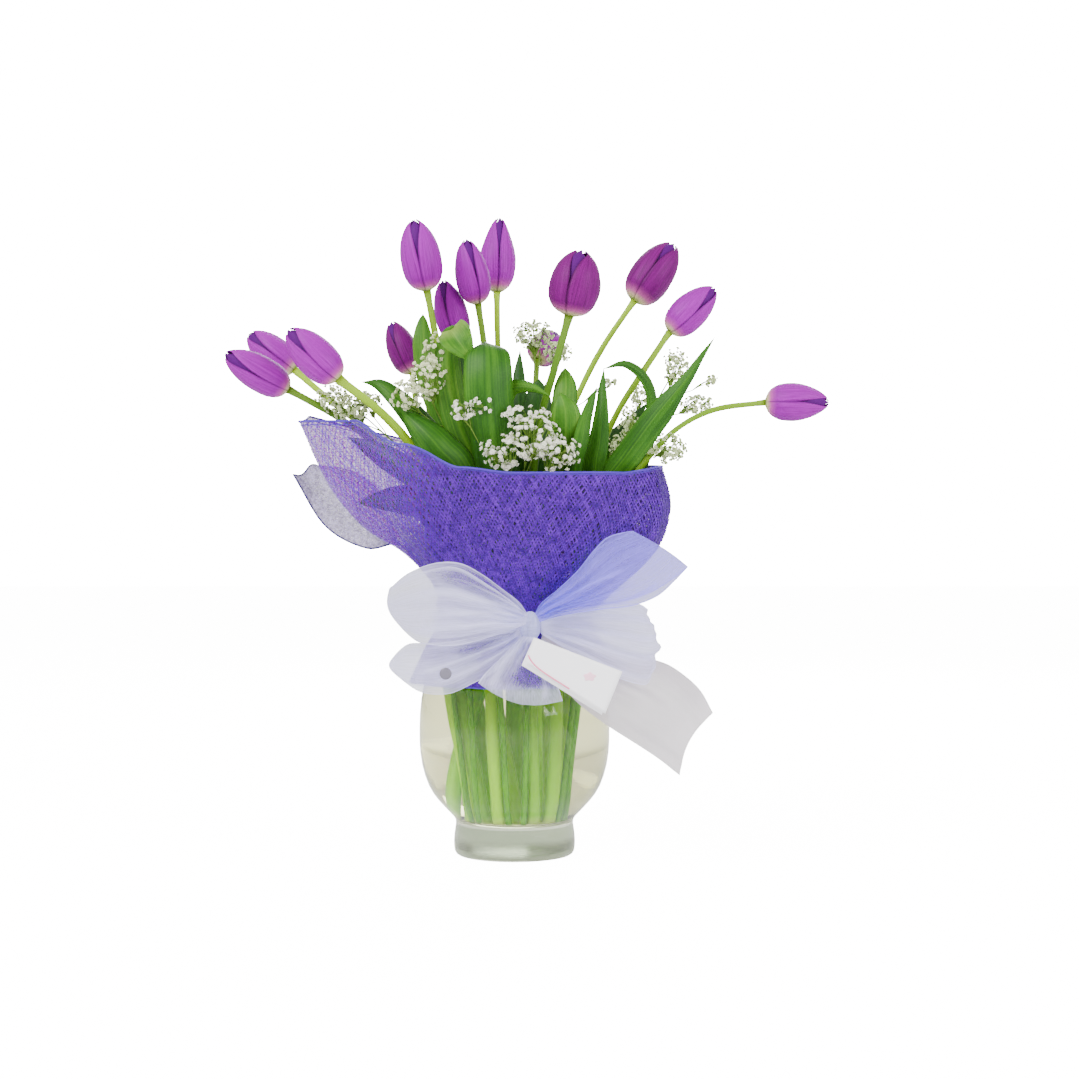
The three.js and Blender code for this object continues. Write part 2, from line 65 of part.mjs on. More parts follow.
// bow pieces: the two edges of the ribbon, from the knot outwards (and back to the knot in a loop)
const BOW = {
  "bow_loop_top_left": {A:[[11.2,-82.0,196.0],[2.2,-92.0,207.0],[-9.8,-99.0,217.1],[-23.2,-104.0,227.1],[-39.6,-106.0,235.4],[-58.5,-104.0,235.4],[-79.1,-99.0,227.7],[-93.2,-91.0,216.1],[-90.0,-83.0,218.8],[-71.3,-76.0,227.0],[-44.7,-73.0,231.5],[-17.9,-73.0,217.0],[5.1,-75.0,201.0]],B:[[9.7,-83.0,188.4],[-0.8,-94.0,183.7],[-12.0,-100.0,181.0],[-29.2,-105.0,176.0],[-45.6,-107.0,173.2],[-62.2,-105.0,173.8],[-73.1,-99.0,176.4],[-83.4,-91.0,184.3],[-80.1,-83.0,182.3],[-63.7,-77.0,177.4],[-40.8,-75.0,178.0],[-14.8,-75.0,183.4],[5.1,-76.0,188.0]]},
  "bow_loop_top_right": {A:[[16.6,-82.0,196.7],[21.9,-91.0,205.5],[33.9,-99.0,215.6],[48.2,-104.0,229.4],[59.4,-107.0,243.7],[69.8,-108.0,254.2],[80.4,-106.0,257.9],[90.4,-100.0,259.4],[85.5,-91.0,257.0],[66.0,-84.0,247.8],[44.8,-79.0,224.8],[26.5,-76.0,207.1],[18.9,-75.0,197.9]],B:[[20.4,-83.0,189.9],[32.5,-93.0,194.2],[52.0,-101.0,198.4],[69.9,-106.0,200.9],[89.3,-108.0,203.2],[107.4,-107.0,209.9],[119.5,-104.0,219.6],[131.9,-99.0,232.2],[126.5,-90.0,226.7],[105.6,-83.0,212.8],[79.9,-79.0,205.0],[49.4,-76.0,201.0],[22.7,-76.0,192.6]]},
  "bow_loop_low_right": {A:[[21.1,-72.0,191.6],[40.2,-80.0,198.9],[59.9,-86.0,202.2],[79.5,-89.0,204.6],[96.3,-87.0,203.8],[102.8,-80.0,198.9],[95.4,-73.0,201.6],[66.5,-69.0,199.9],[35.8,-68.0,195.3]],B:[[21.1,-73.0,180.2],[37.1,-82.0,170.8],[54.5,-89.0,160.6],[74.9,-92.0,149.5],[100.0,-90.0,142.5],[107.3,-82.0,151.0],[100.0,-75.0,145.8],[69.5,-71.0,154.0],[35.7,-69.0,175.3]]},
  "bow_loop_low_left": {A:[[5.8,-74.0,185.6],[-6.3,-82.0,182.2],[-23.7,-87.0,179.5],[-44.1,-89.0,175.8],[-64.6,-88.0,174.2],[-80.0,-85.0,173.3],[-91.1,-78.0,163.7],[-82.5,-70.0,167.7],[-56.5,-67.0,170.6],[-25.8,-66.0,175.2],[-2.7,-67.0,179.8]],B:[[6.6,-75.0,178.0],[-2.5,-84.0,164.8],[-13.7,-90.0,153.1],[-31.1,-92.0,143.4],[-49.3,-92.0,135.8],[-70.7,-89.0,137.1],[-88.6,-82.0,148.7],[-79.2,-73.0,141.8],[-56.4,-69.0,140.0],[-29.6,-68.0,147.6],[-4.2,-68.0,169.1]]},
  "bow_tail_centre": {A:[[7.4,-84.0,179.3],[-3.8,-93.0,169.2],[-14.4,-97.0,158.9],[-22.6,-98.0,150.7],[-26.4,-97.0,144.6]],B:[[18.1,-84.0,177.8],[24.2,-93.0,163.2],[30.2,-98.0,149.9],[34.7,-99.0,139.4],[37.7,-98.0,131.0]]},
  "bow_tail_right": {A:[[22.7,-71.0,181.6],[47.2,-75.0,174.2],[73.9,-77.0,168.2],[100.6,-77.0,162.1],[118.3,-75.0,157.3],[132.4,-71.0,147.8],[144.1,-69.0,135.4],[153.0,-73.0,119.6]],B:[[20.4,-71.0,173.2],[31.8,-78.0,151.4],[47.0,-83.0,130.5],[66.0,-85.0,115.4],[82.9,-82.0,103.7],[98.4,-77.0,93.2],[113.9,-73.0,82.7],[127.7,-74.0,72.1]]}
};
// wrap: profiles [radius, height] from the hem of the skirt, over the tie, to the rim, at angles in degrees (0 = +X, -90 = front)
const WRAP = {
  "-90": [[81,139],[72,163],[60.8,187],[65.5,205],[76,230],[90,256],[102,281],[111,303]],
  "-45": [[82,139],[72.5,163],[60.8,187],[69,207],[89,231],[106,255],[115,280],[118.5,303.5]],
  "-18": [[82,139],[72.5,163],[60.8,187],[74,206],[100,229],[118,252],[124,281],[118,309]],
  "15": [[82,139],[72.5,163],[60.8,187],[74,206],[99,229],[115,251],[122,281],[114,311]],
  "60": [[81,139],[72,163],[60.8,187],[68,207],[86,232],[101,257],[110,283],[114,309]],
  "105": [[81,139],[72,163],[60.8,187],[66,207],[82,233],[97,260],[108,290],[115,318]],
  "145": [[82,139],[72.5,163],[60.8,187],[65,209],[83,235],[104,261],[124,296],[146,340]],
  "170": [[83,139],[72.5,163],[60.8,187],[63.5,213],[86,239],[119,261],[146,296],[167,351]],
  "186": [[83,139],[72.5,163],[60.8,187],[63.5,213],[87,240],[121,262],[149,297],[171,345]],
  "206": [[82,139],[72,163],[60.8,187],[64,212],[84,239],[107,266],[124,302],[138,344]],
  "228": [[81,139],[72,163],[60.8,187],[65,209],[78,235],[94,261],[110,291],[125,325]],
  "250": [[81,139],[72,163],[60.8,187],[65.5,206],[76,231],[90,257],[103,283],[113.5,307]]
};
// the paler fold behind on the left: its two long edges from the tie outwards
const WING = {A:[[-42.2,6.0,207.7],[-59.1,24.0,233.0],[-79.5,40.0,260.4],[-104.9,52.0,288.3],[-135.0,57.0,308.2],[-164.8,58.0,312.4]],B:[[-53.2,0.0,203.1],[-76.4,14.0,230.0],[-95.1,28.0,246.7],[-121.7,36.0,243.3],[-156.0,44.0,261.2],[-182.9,50.0,303.1]]};
const CARD = {c:[[15.9,-103.0,179.7],[82.1,-101.0,153.9],[69.3,-101.0,122.3],[9.1,-103.0,161.6]]};         // corners of the card
const BEAD = [-50.7,-95.0,152.0];         // grey disc on the bow
const KNOT = [13, -72.5, 185.5];

const wasm = await Module(); wasm.setup();
const V = (a) => new THREE.Vector3(a[0], a[1], a[2]);

function solid(geo) {
  const g = geo.index ? geo.toNonIndexed() : geo;
  g.deleteAttribute("normal"); g.deleteAttribute("uv");
  const m = mergeVertices(g, 1e-4);
  const idx = m.index.array, keep = [];
  for (let i = 0; i < idx.length; i += 3) {
    const a = idx[i], b = idx[i + 1], c = idx[i + 2];
    if (a !== b && b !== c && a !== c) keep.push(a, b, c);
  }
  const v = m.attributes.position, A = new THREE.Vector3(), B = new THREE.Vector3(), C = new THREE.Vector3();
  let vol = 0;
  for (let i = 0; i < keep.length; i += 3) {
    A.fromBufferAttribute(v, keep[i]); B.fromBufferAttribute(v, keep[i + 1]); C.fromBufferAttribute(v, keep[i + 2]);
    vol += A.dot(B.cross(C));
  }
  if (vol < 0) for (let i = 0; i < keep.length; i += 3) [keep[i], keep[i + 1]] = [keep[i + 1], keep[i]];
  return new wasm.Manifold(new wasm.Mesh({ numProp: 3, vertProperties: new Float32Array(v.array), triVerts: new Uint32Array(keep) }));
}
function toGeometry(man) {
  const me = man.getMesh(), g = new THREE.BufferGeometry();
  g.setAttribute("position", new THREE.BufferAttribute(new Float32Array(me.vertProperties), 3));
  g.setIndex(new THREE.BufferAttribute(new Uint32Array(me.triVerts), 1));
  g.computeVertexNormals();
  return g;
}
function largest(man) {
  const parts = man.decompose(); let best = parts[0];
  for (const p of parts) if (p.volume() > best.volume()) best = p;
  return best;
}
const curve = (pts) => new THREE.CatmullRomCurve3(pts.map(V), false, "catmullrom", 0.5);

// body turned about the Z axis
function turned(profile, sides) {
  const g = new THREE.LatheGeometry(profile.map(([r, z]) => new THREE.Vector2(r, z)), sides);
  g.rotateX(Math.PI / 2);
  return solid(g);
}
// round rod along a line
function rod(pts, r, steps, sides = STEM_SIDES, turn = 0) {
  const shape = new THREE.Shape();
  for (let i = 0; i < sides; i++) {
    const a = 2 * Math.PI * (i / sides) + turn;
    if (i === 0) shape.moveTo(r * Math.cos(a), r * Math.sin(a)); else shape.lineTo(r * Math.cos(a), r * Math.sin(a));
  }
  shape.closePath();
  return solid(new THREE.ExtrudeGeometry(shape, { steps, bevelEnabled: false, extrudePath: curve(pts) }));
}
// slab whose middle surface is mid(u,v) and whose thickness runs along the surface normal
function slab(mid, nu, nv, t) {
  const g = new THREE.BoxGeometry(1, 1, 1, nu, nv, 1), p = g.attributes.position, e = 1e-3;
  const n = (u, v) => {
    const a = mid(Math.min(1, u + e), v).sub(mid(Math.max(0, u - e), v)), b = mid(u, Math.min(1, v + e)).sub(mid(u, Math.max(0, v - e)));
    return a.cross(b).normalize();
  };
  for (let i = 0; i < p.count; i++) {
    const u = Math.min(1, Math.max(0, p.getX(i) + 0.5)), v = Math.min(1, Math.max(0, p.getY(i) + 0.5));
    const q = mid(u, v).addScaledVector(n(u, v), p.getZ(i) * t);
    p.setXYZ(i, q.x, q.y, q.z);
  }
  return solid(g);
}
const sm = (x) => { x = Math.min(1, Math.max(0, x)); return x * x * (3 - 2 * x); };

// closed tulip head: six petals seen as a lobed egg
function head(t, grow = 0) {
  const L = V(t.tip).distanceTo(V(t.base)), R = t.w / 2;
  const prof = [[0, 0], [0.2, 0.004], [0.56, 0.08], [0.9, 0.24], [1.0, 0.42], [0.95, 0.6], [0.72, 0.81], [0.36, 0.95], [0, 1]];
  const g = new THREE.LatheGeometry(prof.map(([r, z]) => new THREE.Vector2(Math.max(0, r * R + (r > 0 ? grow : 0)), z * L + (z < 0.3 ? -grow : z > 0.9 ? grow : 0))), 12);
  const p = g.attributes.position;
  for (let i = 0; i < p.count; i++) {
    const x = p.getX(i), y = p.getY(i), z = p.getZ(i), a = Math.atan2(z, x), k = 1 + 0.045 * Math.cos(3 * a) * sm(y / L * 2);
    p.setXYZ(i, x * k, y, z * k);
  }
  const q = new THREE.Quaternion().setFromUnitVectors(new THREE.Vector3(0, 1, 0), V(t.tip).sub(V(t.base)).normalize());
  g.rotateY(t.roll * Math.PI / 180); g.applyQuaternion(q); g.translate(...t.base);
  return solid(g);
}
function stem(t, grow = 0) {
  const p = t.p.map((x) => [...x]);
  const ax = V(t.tip).sub(V(t.base)).normalize();
  const b = V(t.base).addScaledVector(ax, -(GAP + 0.05) + grow); p[0] = [b.x, b.y, b.z];
  return rod(p, t.r + 0.3 + grow, 15);
}
function blade(b, grow = 0) {
  const c = curve(b.p), w0 = V(b.w0).normalize(), w1 = V(b.w1).normalize();
  const mid = (u, v) => {
    const C = c.getPoint(u), T = c.getTangent(u);
    const D = w0.clone().lerp(w1, u); D.addScaledVector(T, -D.dot(T)).normalize();
    const N = new THREE.Vector3().crossVectors(D, T).normalize();
    const k = Math.min(8.9999, u * 9), i = Math.floor(k), w = b.W[i] * (1 - k + i) + b.W[i + 1] * (k - i);
    const s = (v - 0.5) * 2;
    const end = u < 1e-6 ? -grow : u > 1 - 1e-6 ? grow : 0;
    return C.addScaledVector(D, s * (w + grow)).addScaledVector(N, -Math.abs(s) * w * 0.22).addScaledVector(T, end);
  };
  return slab(mid, 9, 2, LEAF_T + 2 * grow);
}
function leaf(l, grow = 0) {
  let m = blade(l.b[0], grow);
  for (let i = 1; i < l.b.length; i++) m = m.add(blade(l.b[i], grow));
  return m;
}
function sprig(s, grow = 0, blobs = true) {
  let m = rod(s.p, 1.2 + grow, 15, 4);
  if (!blobs) return m;
  for (const k of s.cl) {
    const a = V(k.f), b = V(k.c), h = a.clone().lerp(b, 0.55).add(new THREE.Vector3(0, 0, -2));
    m = m.add(rod([[a.x, a.y, a.z], [h.x, h.y, h.z], [b.x, b.y, b.z]], 1.1 + grow, 2, 4, 0.3));
    const g = new THREE.IcosahedronGeometry(1, 1);
    g.scale(k.s[0] + grow, k.s[1] + grow, k.s[2] + grow); g.translate(...k.c);
    m = m.add(solid(g));
  }
  return m;
}
// net wrap as one sheet closed on itself, hem to rim
const WK = Object.keys(WRAP).map(Number).sort((a, b) => a - b);
function wrapPoint(th, v, pleat = 1) {
  const n = WK.length; let i = 0;
  let a = th; while (a < WK[0]) a += 360; while (a >= WK[0] + 360) a -= 360;
  for (i = 0; i < n; i++) if (a < (i + 1 < n ? WK[i + 1] : WK[0] + 360)) break;
  const k0 = WK[i], k1 = i + 1 < n ? WK[i + 1] : WK[0] + 360, w = (a - k0) / (k1 - k0), s = w * w * (3 - 2 * w);
  const A = WRAP[k0], B = WRAP[WK[(i + 1) % n]], m = A.length - 1, f = Math.min(m - 1e-6, v * m), j = Math.floor(f), x = f - j;
  const cr = (P, c) => { const g = (q) => P[Math.min(m, Math.max(0, q))][c], p0 = g(j - 1), p1 = g(j), p2 = g(j + 1), p3 = g(j + 2);
    return 0.5 * (2 * p1 + (p2 - p0) * x + (2 * p0 - 5 * p1 + 4 * p2 - p3) * x * x + (3 * p1 - p0 - 3 * p2 + p3) * x * x * x); };
  const r = cr(A, 0) * (1 - s) + cr(B, 0) * s, z = cr(A, 1) * (1 - s) + cr(B, 1) * s;
  const tie = Math.abs(v - 2 / 7), amp = pleat * (v < 2 / 7 ? 0.5 + 6 * tie : 0.5 + 3.4 * Math.min(tie, 0.45)) * Math.cos(PLEATS * th * Math.PI / 180 + 1.5 * Math.sin(th * Math.PI / 90));
  const t = th * Math.PI / 180;
  return new THREE.Vector3((r + amp) * Math.cos(t), (r + amp) * Math.sin(t), z);
}
function wrap(grow = 0) {
  const nu = 44, nv = 8, vs = [0, 0.14, 0.2857, 0.36, 0.46, 0.58, 0.72, 0.87, 1];
  const prof = [];
  for (let j = 0; j <= nv; j++) prof.push(new THREE.Vector2(2, j));
  for (let j = nv; j >= 0; j--) prof.push(new THREE.Vector2(1, j));
  prof.push(new THREE.Vector2(2, 0));
  const g = new THREE.LatheGeometry(prof, nu), p = g.attributes.position;
  for (let i = 0; i < p.count; i++) {
    const side = Math.hypot(p.getX(i), p.getZ(i)) > 1.5 ? 0.5 : -0.5, j = Math.round(p.getY(i)), v = vs[j];
    let th = Math.atan2(p.getX(i), p.getZ(i)) * 180 / Math.PI; th = Math.round((th + 360) % 360 / (360 / nu)) * (360 / nu) % 360;
    const e = 0.02, q = wrapPoint(th, v), du = wrapPoint(th + 0.2, v).sub(wrapPoint(th - 0.2, v)), dv = wrapPoint(th, Math.min(1, v + e)).sub(wrapPoint(th, Math.max(0, v - e)));
    const nrm = du.cross(dv).normalize();
    q.addScaledVector(nrm, side * (WRAP_T + 2 * grow));
    p.setXYZ(i, q.x, q.y, q.z);
  }
  return solid(g);
}
// strip between two edge lines
function strip(A, B, nu, nv, t, drop = 0, bow = 0, grow = 0, bulge = 0) {
  const a = curve(A), b = curve(B);
  return slab((u, v) => {
    const p = a.getPoint(u), q = b.getPoint(u), s = Math.sin(Math.PI * v), w = Math.max(1, p.distanceTo(q));
    const T = a.getTangent(u).add(b.getTangent(u)).normalize().multiplyScalar(u < 1e-6 ? -grow : u > 1 - 1e-6 ? grow : 0);
    p.lerp(q, (v - 0.5) * (1 + 2 * grow / w) + 0.5).add(T);
    p.x += bulge * s * sm(2 - 2 * Math.abs(2 * u - 1)); p.z -= drop * s * u * u; p.y -= bow * s * sm(u * 3);
    return p;
  }, nu, nv, t);
}
// how far the middle of each loop stands out past its edges
const BULGE = { bow_loop_top_left: -6, bow_loop_low_left: -5, bow_loop_low_right: 4, bow_loop_top_right: 3 };
function ribbon(name, grow = 0) {
  const k = BOW[name], loop = k.A.length > 9;
  return strip(k.A, k.B, loop ? 18 : 7, 3, RIBBON_T + 2 * grow, name === "bow_tail_centre" ? 9 : 0, name === "bow_tail_centre" ? 3 : name === "bow_tail_right" ? 5 : 0, grow, BULGE[name] || 0);
}

const group = new THREE.Group(); group.name = "tulips_in_a_vase";
const done = [];   // pieces already placed: [bounding box, grown copy]
function place(name, man, grown, colour, rough, metal = 0, extra = {}) {
  const bb = man.boundingBox();
  let m = man;
  for (const d of done) {
    if (!grown.cuts || grown.cuts(d.name)) {
      const o = d.box; let apart = false;
      for (let k = 0; k < 3; k++) if (o.min[k] > bb.max[k] + 1 || o.max[k] < bb.min[k] - 1) apart = true;
      if (!apart) m = m.subtract(d.fat());
    }
  }
  m = largest(largest(m).simplify(grown.tol || 0.12));

  const mesh = new THREE.Mesh(toGeometry(m), new THREE.MeshStandardMaterial({ color: colour, roughness: rough, metalness: metal, ...extra }));
  mesh.name = name; group.add(mesh);
  let fat = null;
  done.push({ name, box: bb, fat: () => (fat ||= grown.make()) });
}
const never = () => false;

// vase
const fatVase = () => turned([...VASE_OUT.map(([r, z], i) => [r + (r ? GAP : 0), z + (i < 2 ? -GAP : i > 17 ? GAP : 0)]), ...VASE_IN.map(([r, z], i) => [r - (r ? GAP : 0), z + (i > 9 ? GAP : 0)])], VASE_SIDES);
place("vase", turned([...VASE_OUT, ...VASE_IN], VASE_SIDES), { make: fatVase, cuts: never }, 0xdfe9e2, 0.05, 0, { transparent: true, opacity: 0.35 });
// stems
for (const t of TULIPS) place("stem_" + t.n, stem(t), { make: () => stem(t, GAP) }, 0x8db94a, 0.5);
// heads
for (const t of TULIPS) place("tulip_head_" + t.n, head(t), { make: () => head(t, GAP), cuts: (n) => n.startsWith("stem") || n.startsWith("tulip") }, 0xa74bc0, 0.45);
// sprigs give way to stems and heads
for (const s of SPRIGS) place("sprig_" + s.n, sprig(s), { make: () => sprig(s, GAP), tol: 0.3 }, 0xe9ebd9, 0.8);
// leaves
for (const l of LEAVES) place(l.n, leaf(l), { make: () => leaf(l, GAP) }, 0x4f9440, 0.5);
// water fills the vase round the stems
{
  const inner = VASE_IN.filter(([, z]) => z < WATER_LEVEL - 1).map(([r, z]) => [r ? r - GAP : 0, z + GAP]);
  place("water", turned([[0, WATER_LEVEL], [65.7 - GAP, WATER_LEVEL], ...inner], VASE_SIDES), { make: () => null, cuts: (n) => n.startsWith("stem") || n.startsWith("sprig") }, 0xd5dccb, 0.05, 0, { transparent: true, opacity: 0.3 });
  done.pop();
}
// net wrap and its paler fold
place("wrap", wrap(), { make: () => wrap(GAP) }, 0x6b52d6, 0.85);
place("wrap_fold", strip(WING.A, WING.B, 8, 6, WRAP_T, 0, 0), { make: () => strip(WING.A, WING.B, 8, 6, WRAP_T + 2 * GAP, 0, 0, GAP) }, 0xb9a9ea, 0.85);
// band and knot of the ribbon
{
  const band = (g) => turned([[64.0 - g, 182 - g], [65.0 + g, 182 - g], [65.6 + g, 187], [65.0 + g, 192 + g], [64.0 - g, 192 + g], [63.4 - g, 187], [64.0 - g, 182 - g]], 36);
  const lump = (g) => { const s = new THREE.IcosahedronGeometry(1, 2); s.scale(11.5 + g, 8.2 + g, 13 + g); s.translate(...KNOT); return solid(s); };
  place("bow_knot", band(0).add(lump(0)), { make: () => band(GAP).add(lump(GAP)) }, 0xdcdcf2, 0.6);
}
for (const n of Object.keys(BOW)) place(n, ribbon(n), { make: () => ribbon(n, GAP) }, 0xe6e6f4, 0.6);
// gift card and grey disc
{
  const c = CARD.c.map(V);
  const mk = (g) => slab((u, v) => c[0].clone().lerp(c[1], u).lerp(c[3].clone().lerp(c[2], u), v).add(new THREE.Vector3(0, -5, 0)), 4, 3, CARD_T + 2 * g);
  place("gift_card", mk(0), { make: () => mk(GAP) }, 0xf6f4f8, 0.6);
  const cyl = new THREE.CylinderGeometry(4.6, 4.6, 1.2, 16); cyl.translate(BEAD[0], BEAD[1] - 7, BEAD[2]);
  place("disc", solid(cyl), { make: () => null }, 0x8d8a93, 0.5);
}
export default group;
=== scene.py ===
# Thirteen tulips in a glass vase with net wrap, sheer bow and card: the look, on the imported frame.
import math
import bpy
import numpy as np
from mathutils import Vector, Matrix


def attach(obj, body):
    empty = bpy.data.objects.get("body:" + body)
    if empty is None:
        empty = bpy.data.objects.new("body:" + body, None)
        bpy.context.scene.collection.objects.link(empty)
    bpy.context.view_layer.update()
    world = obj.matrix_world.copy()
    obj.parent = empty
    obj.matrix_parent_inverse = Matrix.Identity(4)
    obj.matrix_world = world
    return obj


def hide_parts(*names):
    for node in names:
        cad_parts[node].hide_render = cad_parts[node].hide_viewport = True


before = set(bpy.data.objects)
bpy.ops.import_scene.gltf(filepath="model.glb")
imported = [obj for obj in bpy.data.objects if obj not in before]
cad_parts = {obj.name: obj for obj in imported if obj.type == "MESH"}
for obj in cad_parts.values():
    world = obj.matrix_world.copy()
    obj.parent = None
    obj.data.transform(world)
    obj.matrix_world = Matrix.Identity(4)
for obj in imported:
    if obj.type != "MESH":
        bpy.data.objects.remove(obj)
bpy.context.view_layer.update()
MM = 0.001
rng = np.random.default_rng(11)

TULIPS = [
  {"n":"01","tip":[-225.9,-34.0,398.1],"base":[-178.0,-22.0,370.2],"w":27.6,"roll":10,"r":2.7,"rb":4.7,"p":[[-178.0,-22.0,370.2],[-142.5,-20.0,350.4],[-112.5,-19.9,330.1],[-83.9,-18.1,302.3],[-70.3,-14.9,269.0],[-58.3,-11.2,230.2],[-48.8,-8.7,195.3],[-39.8,-7.5,155.6],[-34.9,-7.6,128.9],[-30.2,-7.9,102.1],[-26.1,-8.0,79.9],[-21.1,-8.0,53.5],[-16.0,-8.0,28.2]]},
  {"n":"02","tip":[-216.7,34.0,418.6],"base":[-179.0,28.0,388.9],"w":27.2,"roll":40,"r":2.6,"rb":4.7,"p":[[-179.0,28.0,388.9],[-147.2,24.0,362.0],[-117.8,23.9,339.1],[-87.2,22.5,311.1],[-71.6,21.0,277.6],[-58.9,19.2,237.7],[-49.4,17.5,201.7],[-41.2,15.1,160.7],[-37.5,13.0,133.1],[-34.0,10.2,105.5],[-30.2,6.4,82.5],[-26.0,6.1,55.3],[-24.0,6.0,29.3]]},
  {"n":"03","tip":[-173.7,-58.0,414.4],"base":[-135.7,-52.0,376.6],"w":30.4,"roll":-20,"r":3.2,"rb":4.7,"p":[[-135.7,-52.0,376.6],[-104.7,-51.8,352.4],[-80.8,-49.5,326.9],[-59.6,-44.8,294.5],[-46.1,-42.4,262.3],[-32.1,-41.7,225.4],[-22.5,-37.6,192.0],[-16.8,-33.9,153.4],[-15.2,-31.7,127.3],[-14.1,-29.4,101.1],[-12.8,-27.5,79.5],[-11.1,-25.1,53.7],[-9.7,-22.5,29.2]]},
  {"n":"04","tip":[-103.0,74.0,431.9],"base":[-85.4,66.0,388.9],"w":24.8,"roll":80,"r":2.3,"rb":5.3,"p":[[-85.4,66.0,388.9],[-80.0,58.5,352.7],[-66.8,54.6,321.7],[-51.0,50.5,287.4],[-43.8,45.3,254.8],[-37.6,39.3,217.6],[-32.2,34.6,184.5],[-26.7,31.1,147.1],[-23.2,30.5,122.0],[-18.5,25.4,97.1],[-15.2,21.2,76.5],[-10.7,16.5,52.0],[-8.2,18.1,28.7]]},
  {"n":"05","tip":[-80.0,4.0,507.6],"base":[-70.6,14.0,451.9],"w":32.0,"roll":0,"r":2.7,"rb":4.7,"p":[[-70.6,14.0,451.9],[-62.6,18.6,408.9],[-54.0,20.1,370.7],[-42.1,20.5,328.4],[-33.8,18.9,290.4],[-29.5,13.9,246.9],[-25.7,9.2,208.2],[-19.9,4.4,164.9],[-15.1,1.4,136.1],[-10.0,-1.6,107.4],[-5.9,-4.0,83.4],[-0.9,-7.0,55.0],[4.0,-10.0,27.4]]},
  {"n":"06","tip":[-58.7,44.0,463.2],"base":[-46.6,50.0,414.1],"w":26.4,"roll":55,"r":2.5,"rb":4.7,"p":[[-46.6,50.0,414.1],[-40.1,48.8,374.9],[-34.9,45.0,340.1],[-28.5,38.8,301.4],[-22.5,38.5,266.5],[-16.1,39.5,227.3],[-13.4,38.0,192.3],[-16.0,30.7,153.6],[-19.8,22.4,128.3],[-25.9,18.3,103.1],[-30.6,16.3,82.0],[-35.6,9.0,57.2],[-37.5,1.0,34.7]]},
  {"n":"07","tip":[-40.1,30.0,494.9],"base":[-30.2,38.0,443.4],"w":26.8,"roll":5,"r":2.45,"rb":5.3,"p":[[-30.2,38.0,443.4],[-24.2,38.4,401.5],[-21.8,34.3,363.9],[-19.1,29.3,321.7],[-14.9,25.9,284.3],[-7.8,25.0,242.4],[-2.3,24.2,205.0],[0.4,22.2,162.6],[0.4,20.1,134.3],[-0.2,17.9,106.1],[-0.3,16.0,82.6],[0.3,13.3,54.6],[0.7,10.6,27.6]]},
  {"n":"08","tip":[-13.7,84.0,519.8],"base":[-15.7,80.0,457.4],"w":29.6,"roll":35,"r":2.45,"rb":5.3,"p":[[-15.7,80.0,457.4],[-14.9,77.4,413.3],[-12.8,69.9,374.8],[-10.2,59.5,331.8],[-7.6,48.6,294.2],[-1.9,42.5,250.8],[3.2,38.2,212.0],[8.3,33.5,168.3],[10.7,28.7,139.1],[11.6,26.4,109.8],[12.3,23.9,85.5],[13.6,20.5,56.6],[15.0,17.0,29.0]]},
  {"n":"09","tip":[53.7,-52.0,476.0],"base":[42.9,-48.0,426.1],"w":38.8,"roll":-8,"r":2.9,"rb":4.7,"p":[[42.9,-48.0,426.1],[32.1,-45.3,386.9],[22.3,-41.9,352.1],[16.0,-35.8,312.3],[13.3,-34.3,276.2],[11.4,-35.9,235.4],[10.4,-36.5,199.1],[10.3,-34.8,158.4],[10.9,-32.4,131.3],[11.5,-29.8,104.2],[12.1,-27.6,81.7],[12.7,-25.1,55.0],[13.3,-22.8,29.8]]},
  {"n":"10","tip":[130.7,46.0,492.9],"base":[97.2,38.0,445.8],"w":33.6,"roll":20,"r":2.4,"rb":4.7,"p":[[97.2,38.0,445.8],[72.5,34.4,409.3],[54.2,30.9,374.8],[37.7,24.2,334.4],[30.9,20.4,296.0],[26.2,17.2,252.2],[22.9,14.5,213.1],[20.7,12.0,169.1],[20.5,10.7,139.7],[20.7,9.5,110.2],[20.9,8.5,85.8],[20.8,7.2,56.6],[20.1,5.7,28.5]]},
  {"n":"11","tip":[159.3,-6.0,451.8],"base":[123.4,-8.0,416.7],"w":27.2,"roll":-15,"r":2.5,"rb":4.7,"p":[[123.4,-8.0,416.7],[100.4,-8.0,382.2],[81.1,-6.7,350.9],[65.1,-4.1,313.0],[57.7,-4.4,276.9],[50.6,-5.2,236.0],[44.6,-5.8,199.7],[38.3,-5.9,158.7],[34.3,-5.8,131.4],[30.3,-5.5,104.0],[27.0,-5.3,81.3],[23.0,-5.1,54.3],[19.0,-4.9,28.4]]},
  {"n":"12","tip":[247.3,-30.0,359.6],"base":[197.9,-26.0,359.9],"w":29.2,"roll":12,"r":2.3,"rb":4.7,"p":[[197.9,-26.0,359.9],[156.3,-26.0,353.7],[123.9,-25.9,335.7],[96.3,-25.8,304.2],[76.8,-27.3,272.4],[56.0,-29.0,235.8],[40.3,-29.6,202.1],[30.1,-27.8,161.9],[28.1,-25.1,134.2],[27.5,-22.0,106.4],[26.4,-19.6,83.2],[24.5,-17.0,55.8],[21.9,-14.9,29.9]]},
  {"n":"13","tip":[34.1,112.0,425.0],"base":[17.9,92.0,401.5],"w":26.4,"roll":60,"r":2.3,"rb":5.3,"p":[[17.9,92.0,401.5],[16.0,77.5,365.1],[14.9,63.7,333.1],[14.0,51.7,296.2],[15.7,49.0,261.5],[17.0,47.1,222.4],[15.8,44.4,187.7],[10.1,40.1,149.4],[4.6,34.9,124.2],[-1.4,30.3,99.1],[-5.9,28.6,78.1],[-12.3,27.6,53.4],[-19.3,21.0,31.0]]}
]
